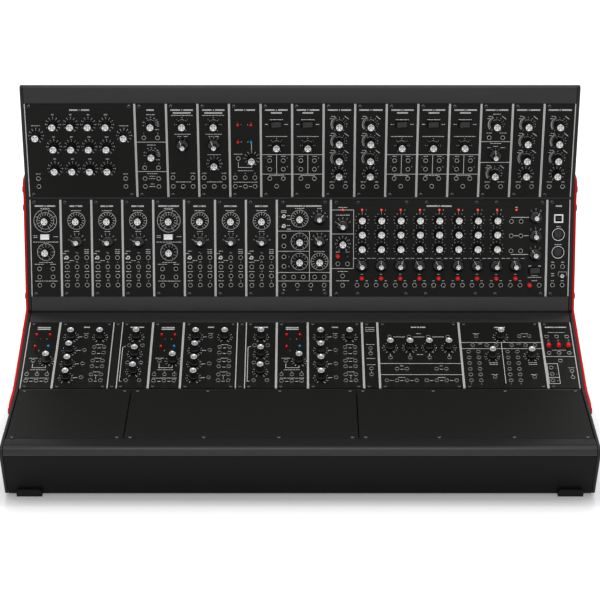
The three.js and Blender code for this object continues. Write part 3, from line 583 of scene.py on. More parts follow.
FREE_NODES = [name for name in frame["bodies"] if name != "root"]
NODE_ASIDE = 4 * MM
NODE_DEEP = 20 * MM


def free_node(kind, place):
    """The CAD node of its own that stands at this place, if the control here has one."""
    for name in FREE_NODES:
        if name.endswith("_" + kind):
            low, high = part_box(name)
            gap = place.inverted() @ ((low + high) / 2)
            if math.hypot(gap.x, gap.y) < NODE_ASIDE and abs(gap.z) < NODE_DEEP:
                return name
    return None


class Unit:
    """One panel of a module. Places are (grid steps from its left edge, share of its height)."""

    number = 0

    def __init__(self, module, start, steps):
        self.module = module
        self.steps = steps
        self.place = module.row @ Matrix.Translation((module.left + start * STEP, 0, 0))
        Unit.number += 1

    def at(self, x, v):
        return self.place @ Matrix.Translation((x * STEP, v * PANEL_HEIGHT, 0))

    def point(self, x, v):
        return Vector((x * STEP, v * PANEL_HEIGHT))

    def control(self, kind, x, v, add, key=None):
        """Adds a control to its module, or makes it as a piece of its own where it has a node."""
        place = self.at(x, v)
        name = free_node(kind, place)
        form = Form() if name else self.module.form(key or kind)
        add(form, place)
        if name:
            slot, finishes = KINDS[key or kind]
            form.piece(f"{name}_piece", name, slot, finishes, [name])

    def face(self, striped):
        """The panel's sheet between its two stripes or, for a blank, a sheet with chamfered edges."""
        left, right = SLIT / 2, self.steps * STEP - SLIT / 2
        sheets = [("blank", left + BLANK_INSET, right - BLANK_INSET, PANEL_EDGE)]
        if striped:
            sheets = [("stripes", left, left + STRIPE_WIDTH, 0), ("stripes", right - STRIPE_WIDTH, right, 0),
                      ("panel", left + STRIPE_WIDTH, right - STRIPE_WIDTH, 0)]
        for kind, start, end, edge in sheets:
            self.put(kind, 0, 0, slab((start, 0, -PANEL_THICKNESS), (end, PANEL_HEIGHT, 0), edge))

    def backing(self, x, v, width=JACK_BODY_WIDTH):
        """The body of a pot, switch or socket behind the panel."""
        self.put("board", x, v, plate(width, width, -BOARD_DEPTH, -PANEL_THICKNESS), 1)

    def knob(self, x, v, dial="numbers", turn=0):
        self.control("knob", x, v, lambda form, place: add_knob(form, place, turn))
        self.backing(x, v, POT_WIDTH)
        getattr(self, dial + "_dial")(x, v)

    def selector(self, x, v, pointer, marks=(-35, 0, 35), numbered=True):
        self.control("selector", x, v, lambda form, place: add_selector(form, place, pointer))
        self.backing(x, v, POT_WIDTH)
        self.ticks(x, v, marks, 8.5, 9.6)
        if numbered:
            self.numbers(x, v, range(1, len(marks) + 1), marks, 11, NUMBER_HEIGHT)

    def jack(self, *places):
        for x, v in places:
            self.put("jacks", x, v, hoop(JACK_NUT))
            # The nut's opening is a dark disc: partly the jack's black insert, partly painted shade in its
            # hole
            self.put("jacks", x, v, turned(JACK_HOLE), 1)
            self.backing(x, v)

    def lever(self, x, v, key=None):
        self.control("lever", x, v, add_lever, key)
        self.put("collars", x, v, hoop(LEVER_COLLAR))
        self.backing(x, v)

    def button(self, x, v, key=None):
        self.control("button", x, v, lambda form, place: form.add(place, turned(BUTTON, ROUND)), key)
        self.put("collars", x, v, hoop(BUTTON_COLLAR, ROUND))
        self.backing(x, v)

    def rocker(self, x, v, key=None):
        self.control("rocker", x, v, add_rocker, key)
        self.put("bezels", x, v, rim(BEZEL_LENGTH, BEZEL_WIDTH, BEZEL_WALL, BEZEL_HEIGHT))
        self.backing(x, v, BEZEL_WIDTH * MM)

    def toggle(self, x, v):
        bat = turned(TOGGLE_BAT)
        self.control("toggle", x, v, lambda form, place: form.add(place @ TOGGLE_LEAN, bat))
        self.put("nuts", x, v, hoop(TOGGLE_NUT, 6))
        self.backing(x, v)

    def lamp(self, x, v, key="lamps", levels=LAMP):
        self.put(key, x, v, turned(levels))

    def screws(self, columns):
        """The panel's screws, each turned its own way."""
        for x in columns:
            for v in SCREW_ROWS:
                add_screw(self.module.form("screws"), self.at(x, v), 20 + 37 * x)

    def put(self, kind, x, v, shape, paint=0):
        self.module.form(kind).add(self.at(x, v), shape, paint)

    def draw(self, shape, x=0, v=0):
        self.put("print", x, v, shape)

    def rule(self, *places, width=RULE_WIDTH):
        self.draw(ribbon([self.point(x, v) for x, v in places], width))

    def divider(self, *heights, end=None):
        """Rules that run into the stripes at the panel's edges."""
        inset = STRIPE_WIDTH / STEP
        for v in heights:
            self.rule((inset, v), (end or self.steps - inset, v))

    def note(self, *rows):
        """Rows of short plain dashes in the place of small print, each given as (x, v, length in mm)."""
        for x, v, length in rows:
            end = length * MM / 2
            left = -end
            while left < end:
                right = left + CHANCE.uniform(*WORD_LENGTH)
                if right > end - WORD_LENGTH[0]:
                    right = end
                self.draw(ribbon([(left, 0), (right, 0)], NOTE_WIDTH), x, v)
                left = right + WORD_GAP

    def label(self, *rows, height=NUMBER_HEIGHT):
        """Numbers and plain words, each given as (x, v, text)."""
        for x, v, text in rows:
            points, faces = glyph(str(text))
            flat = [(px * height, py * height, PRINT_LIFT if pz > 0 else -PRINT_ROOT)
                    for px, py, pz in points]
            self.draw((flat, faces), x, v)

    def bars(self, v, width, x=None, inner=0):
        """The two bars in the place of a title."""
        x = self.steps / 2 if x is None else x
        for side in (-1, 1):
            for up in (-TITLE_GAP / 2, TITLE_GAP / 2):
                self.draw(ribbon([(side * inner, up), (side * width * MM / 2, up)], TITLE_BAR), x, v)

    def title(self, v, width, x=None):
        """Two bars with the panel's place number between them."""
        self.bars(v, width, x, TITLE_CLEAR)
        self.label((self.steps / 2 if x is None else x, v, Unit.number), height=TITLE_NUMBER)

    def numbers(self, x, v, numbers, angles, radius=NUMBER_RADIUS, height=MARK_HEIGHT):
        for number, angle in zip(numbers, angles):
            spot = on_arc(radius * MM, angle)
            self.label((x + spot.x / STEP, v + spot.y / PANEL_HEIGHT, number), height=height)

    def arc(self, x, v, radius, start, end, width=THIN_WIDTH):
        steps = max(2, round((end - start) / 9))
        angles = [start + (end - start) * k / steps for k in range(steps + 1)]
        self.draw(ribbon([on_arc(radius * MM, angle) for angle in angles], width), x, v)

    def ticks(self, x, v, angles, start, end, width=THIN_WIDTH):
        for angle in angles:
            self.draw(ribbon([on_arc(start * MM, angle), on_arc(end * MM, angle)], width), x, v)

    def numbers_dial(self, x, v):
        self.numbers(x, v, range(11), EVEN, height=NUMBER_HEIGHT)
        self.ticks(x, v, EVEN, 6.9, 8.2, TICK_WIDTH)

    def sparse_dial(self, x, v):
        angles = (-150, -90, -45, 0, 45, 90, 150)
        self.numbers(x, v, (3, 2, 1, 0, 1, 2, 3), angles)
        self.ticks(x, v, angles, 6.4, 7.6, TICK_WIDTH)
        self.arc(x, v, 6.4, -36, 36)

    def pair_dial(self, x, v):
        """Larger numbers that crowd together toward the right."""
        angles = (-98, -72, -30, 0, 30, 52, 70, 86, 102)
        self.numbers(x, v, (10, 20, 40, 60, 90, 140, 200, 300, 450), angles)
        self.ticks(x, v, angles, 6.4, 7.6)
        self.arc(x, v, 6.4, -36, 36)
        self.note((x + 1.55, v - 0.055, 5))

    def times_dial(self, x, v):
        """A finely divided band at the left, numbers at the right and notes in the corners."""
        angles = (0, 35, 62, 86, 108, 145)
        self.arc(x, v, 10.9, -128, -24, TICK_WIDTH)
        self.ticks(x, v, [-124 + 7.5 * k for k in range(14)], 8.2, 10.9, HAIR_WIDTH)
        self.arc(x, v, 6.4, -40, 40)
        self.numbers(x, v, (5, 6, 7, 8, 9, 10, 0), (*angles, -145))
        self.ticks(x, v, angles, 6.4, 7.6)
        self.note((x - 1.6, v + 0.086, 5), (x - 2.1, v + 0.062, 3))
        self.rule((x + 1.35, v + 0.089), (x + 2.4, v + 0.056), width=NOTE_WIDTH)

    def ticks_dial(self, x, v):
        self.ticks(x, v, EVEN, 8, 9.5, TICK_WIDTH)

    def circle(self, x, v, radius, width=TICK_WIDTH):
        low, high = radius * MM - width / 2, radius * MM + width / 2
        levels = [(low, -PRINT_ROOT), (high, -PRINT_ROOT), (high, PRINT_LIFT), (low, PRINT_LIFT)]
        self.draw(hoop(levels, CIRCLE_SIDES, 1), x, v)

    def ring_dial(self, x, v):
        """Numbers inside a circle, with a tick by each."""
        self.circle(x, v, 11.2)
        self.ticks(x, v, EVEN, 6.6, 7.6, TICK_WIDTH)
        self.numbers(x, v, range(11), EVEN, 9.3)

    def fine_dial(self, x, v):
        self.circle(x, v, 11.3)
        self.ticks(x, v, FINE, 7.2, 10.4, TICK_WIDTH)

    def double_dial(self, x, v):
        self.circle(x, v, 15)
        self.circle(x, v, 11, THIN_WIDTH)
        self.ticks(x, v, FINE, 7.2, 10, TICK_WIDTH)
        self.ticks(x, v, FINE, 11, 12)
        self.numbers(x, v, range(0, 15, 2), FINE[::2], 13.2)


def mirrored(middle, offset, *heights):
    return [(middle + side * offset, v) for v in heights for side in (-1, 1)]


def filter_bank(unit):
    unit.title(0.936, 26)
    bands = iter((100, 150, 200, 300, 450, 600, 900, 1300, 1900, 2700, 4000, 5400))
    for x in (7.14, 11.65, 16.15, 20.64):
        for v, turn in ((0.783, 100), (0.546, 120), (0.309, 60)):
            unit.knob(x, v, turn=turn)
            unit.label((x, v + 0.104, next(bands)), height=LARGE_NUMBER)
    for x in (2.69, 25.13):
        unit.knob(x, 0.665, turn=60)
        unit.note((x, 0.769, 11.5), (x, 0.251, 6))
        unit.jack((x, 0.203), (x, 0.117))


def filter_pair(unit):
    unit.bars(0.936, 9.5)
    unit.note((4, 0.887, 11), (4, 0.563, 11))
    for v in (0.783, 0.46):
        unit.knob(4, v, "pair")
        unit.jack(*mirrored(3.9, 1.75, v - 0.14))
        unit.label((2.2, v - 0.094, 1), (5.75, v - 0.094, 2))
    unit.divider(0.595, 0.277)
    unit.note((4, 0.254, 13), (4, 0.225, 8), (4, 0.142, 5))
    for v in (0.203, 0.117):
        unit.jack(*mirrored(3.88, 1.75, v))
        unit.note((3.9, v - 0.003, 8))


def high_pass(unit, modulated=False):
    unit.title(0.936, 29)
    unit.bars(0.905, 23)
    unit.note((4, 0.879, 28), (4, 0.679, 21))
    unit.knob(4, 0.783, "sparse")
    unit.selector(4, 0.565, -30, (-22, 22) if not modulated else (-30, 0, 30), numbered=modulated)
    unit.jack((1.32, 0.212), (6.44, 0.212), (1.32, 0.117), (3.9, 0.117), (6.44, 0.117))
    unit.note((3.2, 0.656, 5), (4.8, 0.656, 5), (1.4, 0.259, 5.5), (6.45, 0.259, 6), (4, 0.164, 20))


def low_pass(unit):
    high_pass(unit, modulated=True)
    unit.note((4, 0.46, 17))
    unit.knob(4, 0.364)


def levers(unit, left, right, upper, lower):
    """Four small levers, each with its number. The last one is blue."""
    for count, (x, v) in enumerate(((left, upper), (right, upper), (left, lower), (right, lower))):
        unit.lever(x, v, "blue_levers" if count == 3 else None)
        unit.label((x + (0.85 if x < 4 else -0.85), v - 0.013, count + 1))


def multiple(unit, top, low, knob_x, knob_v, jack_x):
    """The input jack joined to its knob, and two rows of three jacks."""
    unit.knob(knob_x, knob_v)
    unit.jack((jack_x, knob_v))
    unit.note((jack_x, knob_v + 0.045, 11), (4, top + 0.073, 20))
    corner = knob_v - 0.098
    unit.rule((jack_x, knob_v - 0.038), (jack_x, corner), (knob_x, corner), (knob_x, knob_v - 0.065))
    for count, x in enumerate((1.34, 3.93, 6.41)):
        unit.jack((x, top), (x, low))
        unit.label((x, top + 0.044, count + 1))
    unit.note((4, (top + low) / 2 - 0.004, 31), (2.65, low - 0.003, 4), (5.2, low - 0.003, 4))


def voltages(unit):
    unit.title(0.936, 26.5)
    levers(unit, 2.17, 5.53, 0.794, 0.61)
    unit.rule((5.6, 0.582), (5.6, 0.505))
    multiple(unit, 0.213, 0.117, 5.61, 0.42, 2.17)


def amplifier(unit):
    unit.title(0.936, 29)
    unit.bars(0.906, 14)
    unit.note((4, 0.834, 17), (1.45, 0.784, 4), (6.45, 0.784, 4.5), (4, 0.655, 28))
    unit.rocker(3.88, 0.784)
    unit.knob(4, 0.559, "sparse")
    unit.divider(0.46, 0.249)
    unit.rule((4, 0.46), (4, 0.249))
    unit.jack(*mirrored(3.96, 1.74, 0.398, 0.304, 0.203), (3.96, 0.119))
    for x, v in mirrored(4, 2.7, 0.424, 0.33):
        unit.label((x, v, 1 if x < 4 else 2), height=SMALL_NUMBER)
    unit.note((2.23, 0.442, 5.5), (5.73, 0.442, 5.5), (4, 0.234, 19))


def envelope(unit):
    unit.title(0.936, 30)
    for v in (0.783, 0.602, 0.42):
        unit.knob(4, v, "times")
    unit.knob(4, 0.255)
    unit.jack(*mirrored(3.97, 1.73, 0.116))
    unit.note((2.25, 0.164, 6.5), (5.75, 0.164, 4))


def trigger_delay(unit):
    unit.title(0.936, 29)
    unit.note((4, 0.892, 10))
    for v in (0.783, 0.255):
        unit.knob(4, v, "times")
        unit.jack(*mirrored(3.98, 1.73, v - 0.139))
        unit.note((2.25, v - 0.091, 7), (5.75, v - 0.091, 9))
    unit.divider(0.6, 0.377)
    unit.note((4, 0.581, 14))
    unit.selector(4, 0.456, 0, (-30, 0, 30), numbered=False)
    unit.note((2.3, 0.535, 4), (4, 0.549, 6), (5.9, 0.535, 6))


def driver(unit):
    unit.title(0.936, 27)
    unit.note((4, 0.912, 12))
    unit.knob(4, 0.784, "double")
    unit.rocker(3.88, 0.618, "white_rocker")
    unit.note((1.35, 0.63, 5), (1.35, 0.612, 5), (6.6, 0.62, 6), (4, 0.564, 33), (4, 0.353, 18),
              (2.2, 0.334, 12), (5.8, 0.334, 7), (4, 0.159, 29))
    unit.knob(4, 0.461, "ring")
    unit.jack(*mirrored(3.98, 1.74, 0.287, 0.202, 0.116))


def wave(unit, x, v, kind):
    """A small sign of a wave's form."""
    forms = {
        "sine": [(-1.6 + 0.32 * k, 0.7 * math.sin(TURN * k / 10)) for k in range(11)],
        "triangle": [(-1.6, -0.6), (0, 0.7), (1.6, -0.6)],
        "saw": [(-1.5, -0.6), (1.2, 0.6), (1.3, -0.6)],
        "pulse": [(-1.6, -0.6), (-0.9, -0.6), (-0.85, 0.6), (0.85, 0.6), (0.9, -0.6), (1.6, -0.6)],
    }
    unit.draw(ribbon([(px * MM, py * MM) for px, py in forms[kind]], THIN_WIDTH), x, v)


def oscillator(unit):
    unit.title(0.935, 16.5)
    unit.note((4, 0.889, 13), (4.05, 0.674, 7.5), (1.42, 0.47, 5.6), (0.8, 0.446, 4), (2.7, 0.373, 6))
    unit.knob(4.06, 0.784, "fine")
    unit.selector(4.08, 0.567, -75, (-75, -45, -15, 15, 45, 75))
    unit.toggle(1.42, 0.405)
    for v, kind in ((0.404, "sine"), (0.308, "triangle"), (0.212, "saw"), (0.118, "pulse")):
        unit.jack((4.03, v), (6.58, v))
        wave(unit, 4.03, v + 0.049, kind)
    unit.jack((1.46, 0.307), (1.46, 0.212), (1.46, 0.116))
    unit.note(*[(1.45, v, 7) for v in (0.355, 0.258, 0.162)],
              *[(6.56, v, 6) for v in (0.486, 0.464, 0.448, 0.259)])
    unit.label((6.58, 0.356, 1), (6.58, 0.162, 2))


def big_oscillator(unit):
    unit.title(0.936, 46)
    unit.note((5.9, 0.912, 12), (11.05, 0.912, 6))
    for v in (0.833, 0.732):
        unit.toggle(1.82, v)
        unit.label((0.75, v - 0.006, 1), height=LEAST_NUMBER)
        unit.note((3.0, v + 0.004, 4), (3.1, v - 0.034, 5))
    unit.note((1.8, 0.888, 7), (1.8, 0.872, 7), (11, 0.467, 14))
    unit.knob(5.9, 0.807, "fine")
    unit.knob(5.9, 0.571, "ring")
    unit.knob(5.9, 0.362, "ring")
    unit.knob(11.08, 0.362, "fine")
    unit.selector(11.02, 0.805, 45, (-75, -45, -15, 15, 45, 75))
    unit.selector(11.02, 0.569, -45, (-75, -45, -15, 15, 45, 75))
    unit.divider(0.678, 0.249, 0.16)
    unit.divider(0.469, end=8.45)
    unit.rule((8.45, 0.678), (8.45, 0.16))
    unit.jack(*[(1.83, v) for v in (0.622, 0.525, 0.412, 0.313, 0.202, 0.115)],
              *[(x, 0.202) for x in (4.34, 6.83, 9.8, 12.29)], *[(x, 0.116) for x in (5.3, 8.81, 12.29)])
    unit.label((3.1, 0.412, 1), (3.1, 0.312, 2))
    for x, kind in ((1.83, "sine"), (5.3, "triangle"), (8.81, "saw"), (12.29, "pulse")):
        wave(unit, x, 0.067, kind)


STAGE_POINTERS = (-30, 0, 25, -35, -30, 0, -30, 30)


def sequencer(unit):
    first, pitch, aside = 3.09, 4.993, 1.271
    unit.title(0.936, 33, 28)
    unit.rule((0.25, 0.896), (5.9, 0.896), (5.9, 0.29), (0.25, 0.29))
    unit.note((first, 0.922, 12), (first, 0.843, 18))
    unit.lamp(first, 0.897)
    unit.selector(first, 0.73, -60, (-60, -30, 0, 30, 60))
    unit.rule((0.25, 0.648), (5.9, 0.648))
    unit.knob(first, 0.547)
    unit.button(first - aside, 0.418)
    unit.button(first + aside, 0.418, "dark_buttons")
    unit.jack(*mirrored(first, aside - 0.02, 0.339), (first, 0.212), (first, 0.115))
    unit.note((first - aside, 0.461, 5), (first + aside, 0.461, 5), (first, 0.259, 13), (first, 0.162, 17))
    for column in range(1, 10):
        sequencer_column(unit, column, first + column * pitch)
    sequencer_outputs(unit, first + 9 * pitch, first + 10 * pitch)


def sequencer_column(unit, column, x):
    """One stage: lamp, three knobs, selector, button and two jacks. The ninth has no knobs."""
    unit.lamp(x, 0.897)
    if column < 9:
        unit.label((x + 1.05, 0.896, column))
        unit.rule((x, 0.885), (x, 0.85), width=THIN_WIDTH)
        for v in (0.794, 0.649, 0.5):
            unit.knob(x, v, "ticks", CHANCE.choice((-110, -60, 60, 110)))
        pointer = STAGE_POINTERS[column - 1]
    else:
        unit.note((x, 0.922, 3))
        pointer = -15
    unit.selector(x, 0.316, pointer, (-30, 30), numbered=False)
    unit.button(x, 0.187)
    unit.jack(*mirrored(x, 1.25, 0.117))
    unit.note((x - 1.85, 0.395, 4.5), (x, 0.395, 6), (x + 1.85, 0.395, 4.5), (x, 0.229, 3),
              (x - 1.25, 0.162, 3), (x + 1.25, 0.162, 3))


def sequencer_outputs(unit, jacks, knobs):
    """Three jack pairs with lines to their selectors, and the rocker below them."""
    rows = ((0.778, 0.82, 0.82, 40), (0.63, 0.63, 0.627, 0), (0.474, 0.436, 0.434, -35))
    for v, line, selector, pointer in rows:
        unit.jack(*mirrored(jacks, 1.25, v))
        unit.selector(knobs + 0.05, selector, pointer)
        if v == line:
            unit.rule((jacks - 0.5, v), (jacks + 0.5, v), width=NOTE_WIDTH)
            unit.rule((jacks + 2, v), (knobs - 1.7, v), width=NOTE_WIDTH)
        else:
            unit.rule((jacks - 1.3, line), (knobs - 1.7, line), width=NOTE_WIDTH)
    unit.rocker(knobs, 0.269)
    unit.label((knobs - 1.25, 0.316, "OFF"), (knobs + 1.25, 0.316, "ON"), height=LARGE_NUMBER)
    unit.note((knobs, 0.215, 8), (knobs, 0.198, 18), (knobs, 0.163, 7))
    unit.button(knobs - 1.271, 0.115)
    unit.jack((knobs + 1.25, 0.116))


def computer_link(unit):
    unit.bars(0.936, 8)
    centre = 0.807
    unit.put("sockets", 3, centre, rim(DATA_WIDTH, DATA_HEIGHT, DATA_WALL, DATA_PROUD), 3)
    # The well's floor is near black: painted shade
    unit.put("sockets", 3, centre, plate(*DATA_WELL, -DATA_FLOOR, DATA_FLOOR), 1)
    unit.put("sockets", 3, centre, plate(*DATA_TONGUE, 0, DATA_TONGUE_TOP, DATA_FLOOR), 2)
    unit.backing(3, centre, POT_WIDTH)
    for v in (0.643, 0.459):
        unit.put("sockets", 3, v, hoop(SOCKET_RING, FINE_ROUND))
        # The socket's floor and pin holes are near black: painted shade in its recess
        unit.put("sockets", 3, v, turned(SOCKET_FLOOR, ROUND), 1)
        unit.put("sockets", 3, v, turned(SOCKET_CORE, ROUND), 2)
        for angle in (-90, -45, 0, 45, 90):
            spot = on_arc(SOCKET_PIN_RADIUS * MM, angle)
            place = unit.at(3, v) @ Matrix.Translation((spot.x, -spot.y, 0))
            unit.module.form("sockets").add(place, turned(SOCKET_PIN, 10), 1)
        unit.backing(3, v, POT_WIDTH)
    unit.jack(*mirrored(3, 1.27, 0.311, 0.118))
    unit.note((3, 0.724, 6), (3, 0.538, 9), *[(x, v, 4) for x, v in mirrored(3, 1.27, 0.355, 0.162)],
              (1.75, 0.237, 4), (1.75, 0.214, 4))
    unit.toggle(4.2, 0.212)
    unit.rule((3.2, 0.214), (3.2, 0.254), (5.4, 0.254), (5.4, 0.214), width=THIN_WIDTH)


def control_voltages(unit):
    unit.bars(0.918, 17)
    unit.bars(0.892, 17)
    levers(unit, 2.58, 5.94, 0.754, 0.573)
    multiple(unit, 0.198, 0.102, 5.76, 0.4, 2.4)


def mixer(unit):
    unit.bars(0.923, 8)
    for v in (0.767, 0.56, 0.354, 0.148):
        unit.knob(3.27, v)
        unit.jack((7.05, v + 0.006))
        unit.rule((5.15, v + 0.006), (6.1, v + 0.006), width=NOTE_WIDTH)
    unit.note((7.0, 0.823, 6))
    unit.knob(10.7, 0.767)
    middle = 10.755
    for upper, lower in ((0.611, 0.525), (0.403, 0.319), (0.197, 0.109)):
        unit.jack(*mirrored(middle, 1.265, upper, lower))
        unit.note((middle, upper - 0.008, 4), (middle, lower - 0.008, 4), (middle, upper + 0.042, 9))
    unit.rule((middle, upper - 0.02), (middle, lower + 0.02), width=THIN_WIDTH)


def attenuators(unit):
    unit.title(0.923, 18)
    for v in (0.769, 0.504, 0.241):
        unit.knob(4, v)
        unit.jack(*mirrored(4.05, 1.69, v - 0.13))
        for x, height in mirrored(4, 1.75, v - 0.109):
            unit.label((x, height, 1 if x < 4 else 2), height=SMALL_NUMBER)
    unit.rule((1.5, 0.628), (0.75, 0.612), (0.75, 0.1), (1.3, 0.1), width=NOTE_WIDTH)


def noise(unit):
    unit.note(*[(2, v, 12) for v in (0.92, 0.889, 0.861)])
    for upper, lower in ((0.595, 0.514), (0.287, 0.198)):
        unit.jack((2, upper), (2, lower))
        unit.note((2, upper + 0.06, 11))
        unit.rule((2, upper - 0.03), (2, lower + 0.03), width=THIN_WIDTH)
    unit.note((2, 0.441, 11))


def attenuator_row(unit):
    unit.title(0.923, 19)
    unit.note((10.5, 0.823, 6))
    columns = (2.97, 7.97, 12.92, 17.91)
    for x in columns:
        unit.knob(x, 0.603)
        unit.jack((x, 0.771), (x, 0.451))
        unit.rule((x, 0.513), (x, 0.482), width=NOTE_WIDTH)
    for left, right in zip(columns, columns[1:]):
        unit.rule((left + 1, 0.772), (right - 1, 0.772), width=NOTE_WIDTH)
    unit.note((10.5, 0.501, 8))
    unit.divider(0.365)
    for middle in (5.7, 15.66):
        unit.jack(*mirrored(middle, 1.235, 0.281))
        unit.note((middle, 0.278, 4), (middle, 0.329, 4))
    unit.divider(0.198)
    for k in range(8):
        unit.jack((1.79 + 2.49 * k, 0.109))
        if k not in (3, 7):
            unit.note((3.03 + 2.49 * k, 0.11, 4))
    unit.note((5.5, 0.156, 9), (15.5, 0.156, 9))


def interface_unit(unit):
    unit.bars(0.92, 14)
    unit.note((10.5, 0.891, 9), (4.27, 0.823, 8), (16.7, 0.823, 9), (16.6, 0.775, 3.5))
    unit.knob(10.44, 0.767)
    unit.jack((4.23, 0.78), (15.35, 0.78), (17.85, 0.78))
    unit.divider(0.686, 0.592)
    unit.rule((10.5, 0.686), (10.5, 0.07), width=NOTE_WIDTH)
    heights = (0.541, 0.452, 0.367, 0.279, 0.195, 0.109)
    for left in (0.0, 9.92):
        unit.jack(*[(left + x, 0.641) for x in (3.16, 6.74, 9.13)])
        unit.note((left + 5, 0.663, 5))
        for x in (1.91, 4.38):
            unit.jack(*[(left + x, v) for v in heights])
            unit.label((left + x, 0.062, 1 if x < 3 else 2), height=LEAST_NUMBER)
        unit.knob(left + 7.83, 0.472)
        unit.note(*[(left + 7.95, v, width) for v, width in ((0.377, 11), (0.352, 11), (0.2, 8))])
        unit.jack((left + 7.94, 0.159))


def sequential_switch(unit):
    unit.title(0.923, 28)
    unit.note((4, 0.842, 22))
    for count, x in enumerate((1.37, 3.9, 6.48)):
        unit.jack((x, 0.772), (x, 0.52))
        unit.note((x, 0.797, 5))
        unit.button((1.54, 4.08, 6.52)[count], 0.627)
        unit.lamp(x + 0.1, 0.675, "dim_lamps", TALL_LAMP)
    unit.note((4, 0.567, 18), (4, 0.428, 5))
    unit.divider(0.471)
    unit.jack((3.9, 0.402))
    for path in (((0.4, 0.363), (3.1, 0.363), (3.1, 0.066), (0.4, 0.066)), ((0.4, 0.156), (3.1, 0.156)),
                 ((0.4, 0.363), (0.4, 0.066))):
        unit.rule(*path)
    for count, v in enumerate((0.298, 0.203, 0.107)):
        unit.jack((1.33, v))
        unit.label((2.55, v, count + 1), height=LEAST_NUMBER)
    unit.note((6.5, 0.301, 8))
    unit.jack((6.45, 0.247), (6.45, 0.154))
    unit.rule((6.45, 0.22), (6.45, 0.187), width=THIN_WIDTH)


# Each panel's width in grid steps and the columns of its screws; a blank has only a name
PANELS = {
    filter_bank: (28, 1.2, 26.6), filter_pair: (8, 1.2), high_pass: (8, 1.2), low_pass: (8, 1.2),
    voltages: (8, 1.2), amplifier: (8, 1.2), envelope: (8, 1.2), trigger_delay: (8, 1.2),
    driver: (8, 1.2), oscillator: (8, 1.2), big_oscillator: (14, 1.6, 12.5), computer_link: (6, 1.2),
    sequencer: (56, 1.45, 7.05, 19.6, 24.7, 37.7, 42.8, 54.7),
    control_voltages: (8, 1.2), mixer: (14, 1.3, 12.7), "narrow_blank": (2, 1), attenuators: (8, 1.2),
    noise: (4, 1.2), attenuator_row: (21, 1.3, 19.7), interface_unit: (21, 1.3, 19.7),
    sequential_switch: (8, 1.2), "side_blank": (28, 1.5, 26.45), "wide_blank": (56, 1.6, 19.1, 37.0, 54.45),
}
OSCILLATORS = [driver, oscillator, oscillator, oscillator]
MIXERS = [control_voltages, mixer, "narrow_blank", attenuators]
ROWS = [
    (UPPER_TILT + REAR_SLOPE, {
        "filter_bank_module": [filter_bank],
        "filter_modules": [filter_pair, high_pass, low_pass, voltages],
        "amplifier_modules": [amplifier, amplifier, envelope, envelope, amplifier, amplifier, amplifier,
                              trigger_delay, envelope, envelope],
    }),
    (UPPER_TILT + FRONT_SLOPE, {
        "oscillator_modules_left": OSCILLATORS,
        "oscillator_modules_right": OSCILLATORS,
        "big_oscillator_module": [big_oscillator],
        "sequencer_module": [sequencer],
        "computer_link_module": [computer_link],
    }),
    (LOWER_TILT + REAR_SLOPE, {
        "mixer_modules_left": MIXERS,
        "mixer_modules_centre": MIXERS,
        "mixer_modules_right": [control_voltages, mixer, noise],
        "attenuator_module": [attenuator_row],
        "interface_module": [interface_unit],
        "switch_module": [sequential_switch],
    }),
    (LOWER_TILT + FRONT_SLOPE, {
        "blank_panel_left": ["side_blank"],
        "blank_panel_centre": ["wide_blank"],
        "blank_panel_right": ["wide_blank"],
    }),
]


def row_place(node, slope):
    """A row's frame at the lower left corner of its first panel: x right, y up the slope, z out."""
    turn = Matrix.Rotation(math.radians(slope), 4, "X")
    local = [turn.inverted() @ v.co for v in frame["nodes"][node].data.vertices]
    low = min(p.y for p in local)
    face = max(p.z for p in local if p.y < low + 0.1 * MM)
    return turn @ Matrix.Translation((min(p.x for p in local) - SLIT / 2, low, face))


def build_rows():
    for slope, modules in ROWS:
        row = row_place(next(iter(modules)), slope)
        for node, panels in modules.items():
            module = Module(node, row)
            start = 0
            for draw in panels:
                steps, *columns = PANELS[draw]
                unit = Unit(module, start, steps)
                unit.face(striped=callable(draw))
                if callable(draw):
                    draw(unit)
                unit.screws(columns)
                start += steps
            if callable(panels[0]):
                low = (BOARD_MARGIN, BOARD_INSET, -BOARD_DEPTH - BOARD_THICKNESS)
                high = (start * STEP - BOARD_MARGIN, PANEL_HEIGHT - BOARD_INSET, -BOARD_DEPTH)
                place = row @ Matrix.Translation((module.left, 0, 0))
                module.form("board").add(place, slab(low, high, BOARD_EDGE))
            module.make()


FOOT_RISE = 8 * MM
PAINTED_LIGHT_FACING = 0.98


def refined(node, finish, edge=0.35 * MM, corner=0.0):
    """A finer stand-in for a CAD solid: flats merged, edges and the corners of an upturned end rounded."""
    form = bmesh.new()
    form.from_mesh(frame["nodes"][node].data)
    bmesh.ops.remove_doubles(form, verts=form.verts, dist=WELD)
    bmesh.ops.dissolve_limit(form, angle_limit=math.radians(1), verts=form.verts, edges=form.edges)
    if corner:
        ends = [e for e in form.edges if abs(e.verts[0].co.x - e.verts[1].co.x) < WELD
                and min(v.co.z for v in e.verts) > FOOT_RISE]
        bmesh.ops.bevel(form, geom=ends, offset=corner, segments=5, profile=0.5, affect="EDGES")
    sharp = [e for e in form.edges if e.is_manifold and e.calc_face_angle() > SHARP_ANGLE]
    bmesh.ops.bevel(form, geom=sharp, offset=edge, segments=2, profile=0.6, affect="EDGES",
                    clamp_overlap=True)
    mesh = bpy.data.meshes.new(node + "_fine")
    form.to_mesh(mesh)
    form.free()
    body = next(name for name, empty in frame["bodies"].items() if frame["nodes"][node].parent is empty)
    return finished(mesh, node + "_fine", body, [finish], [node])


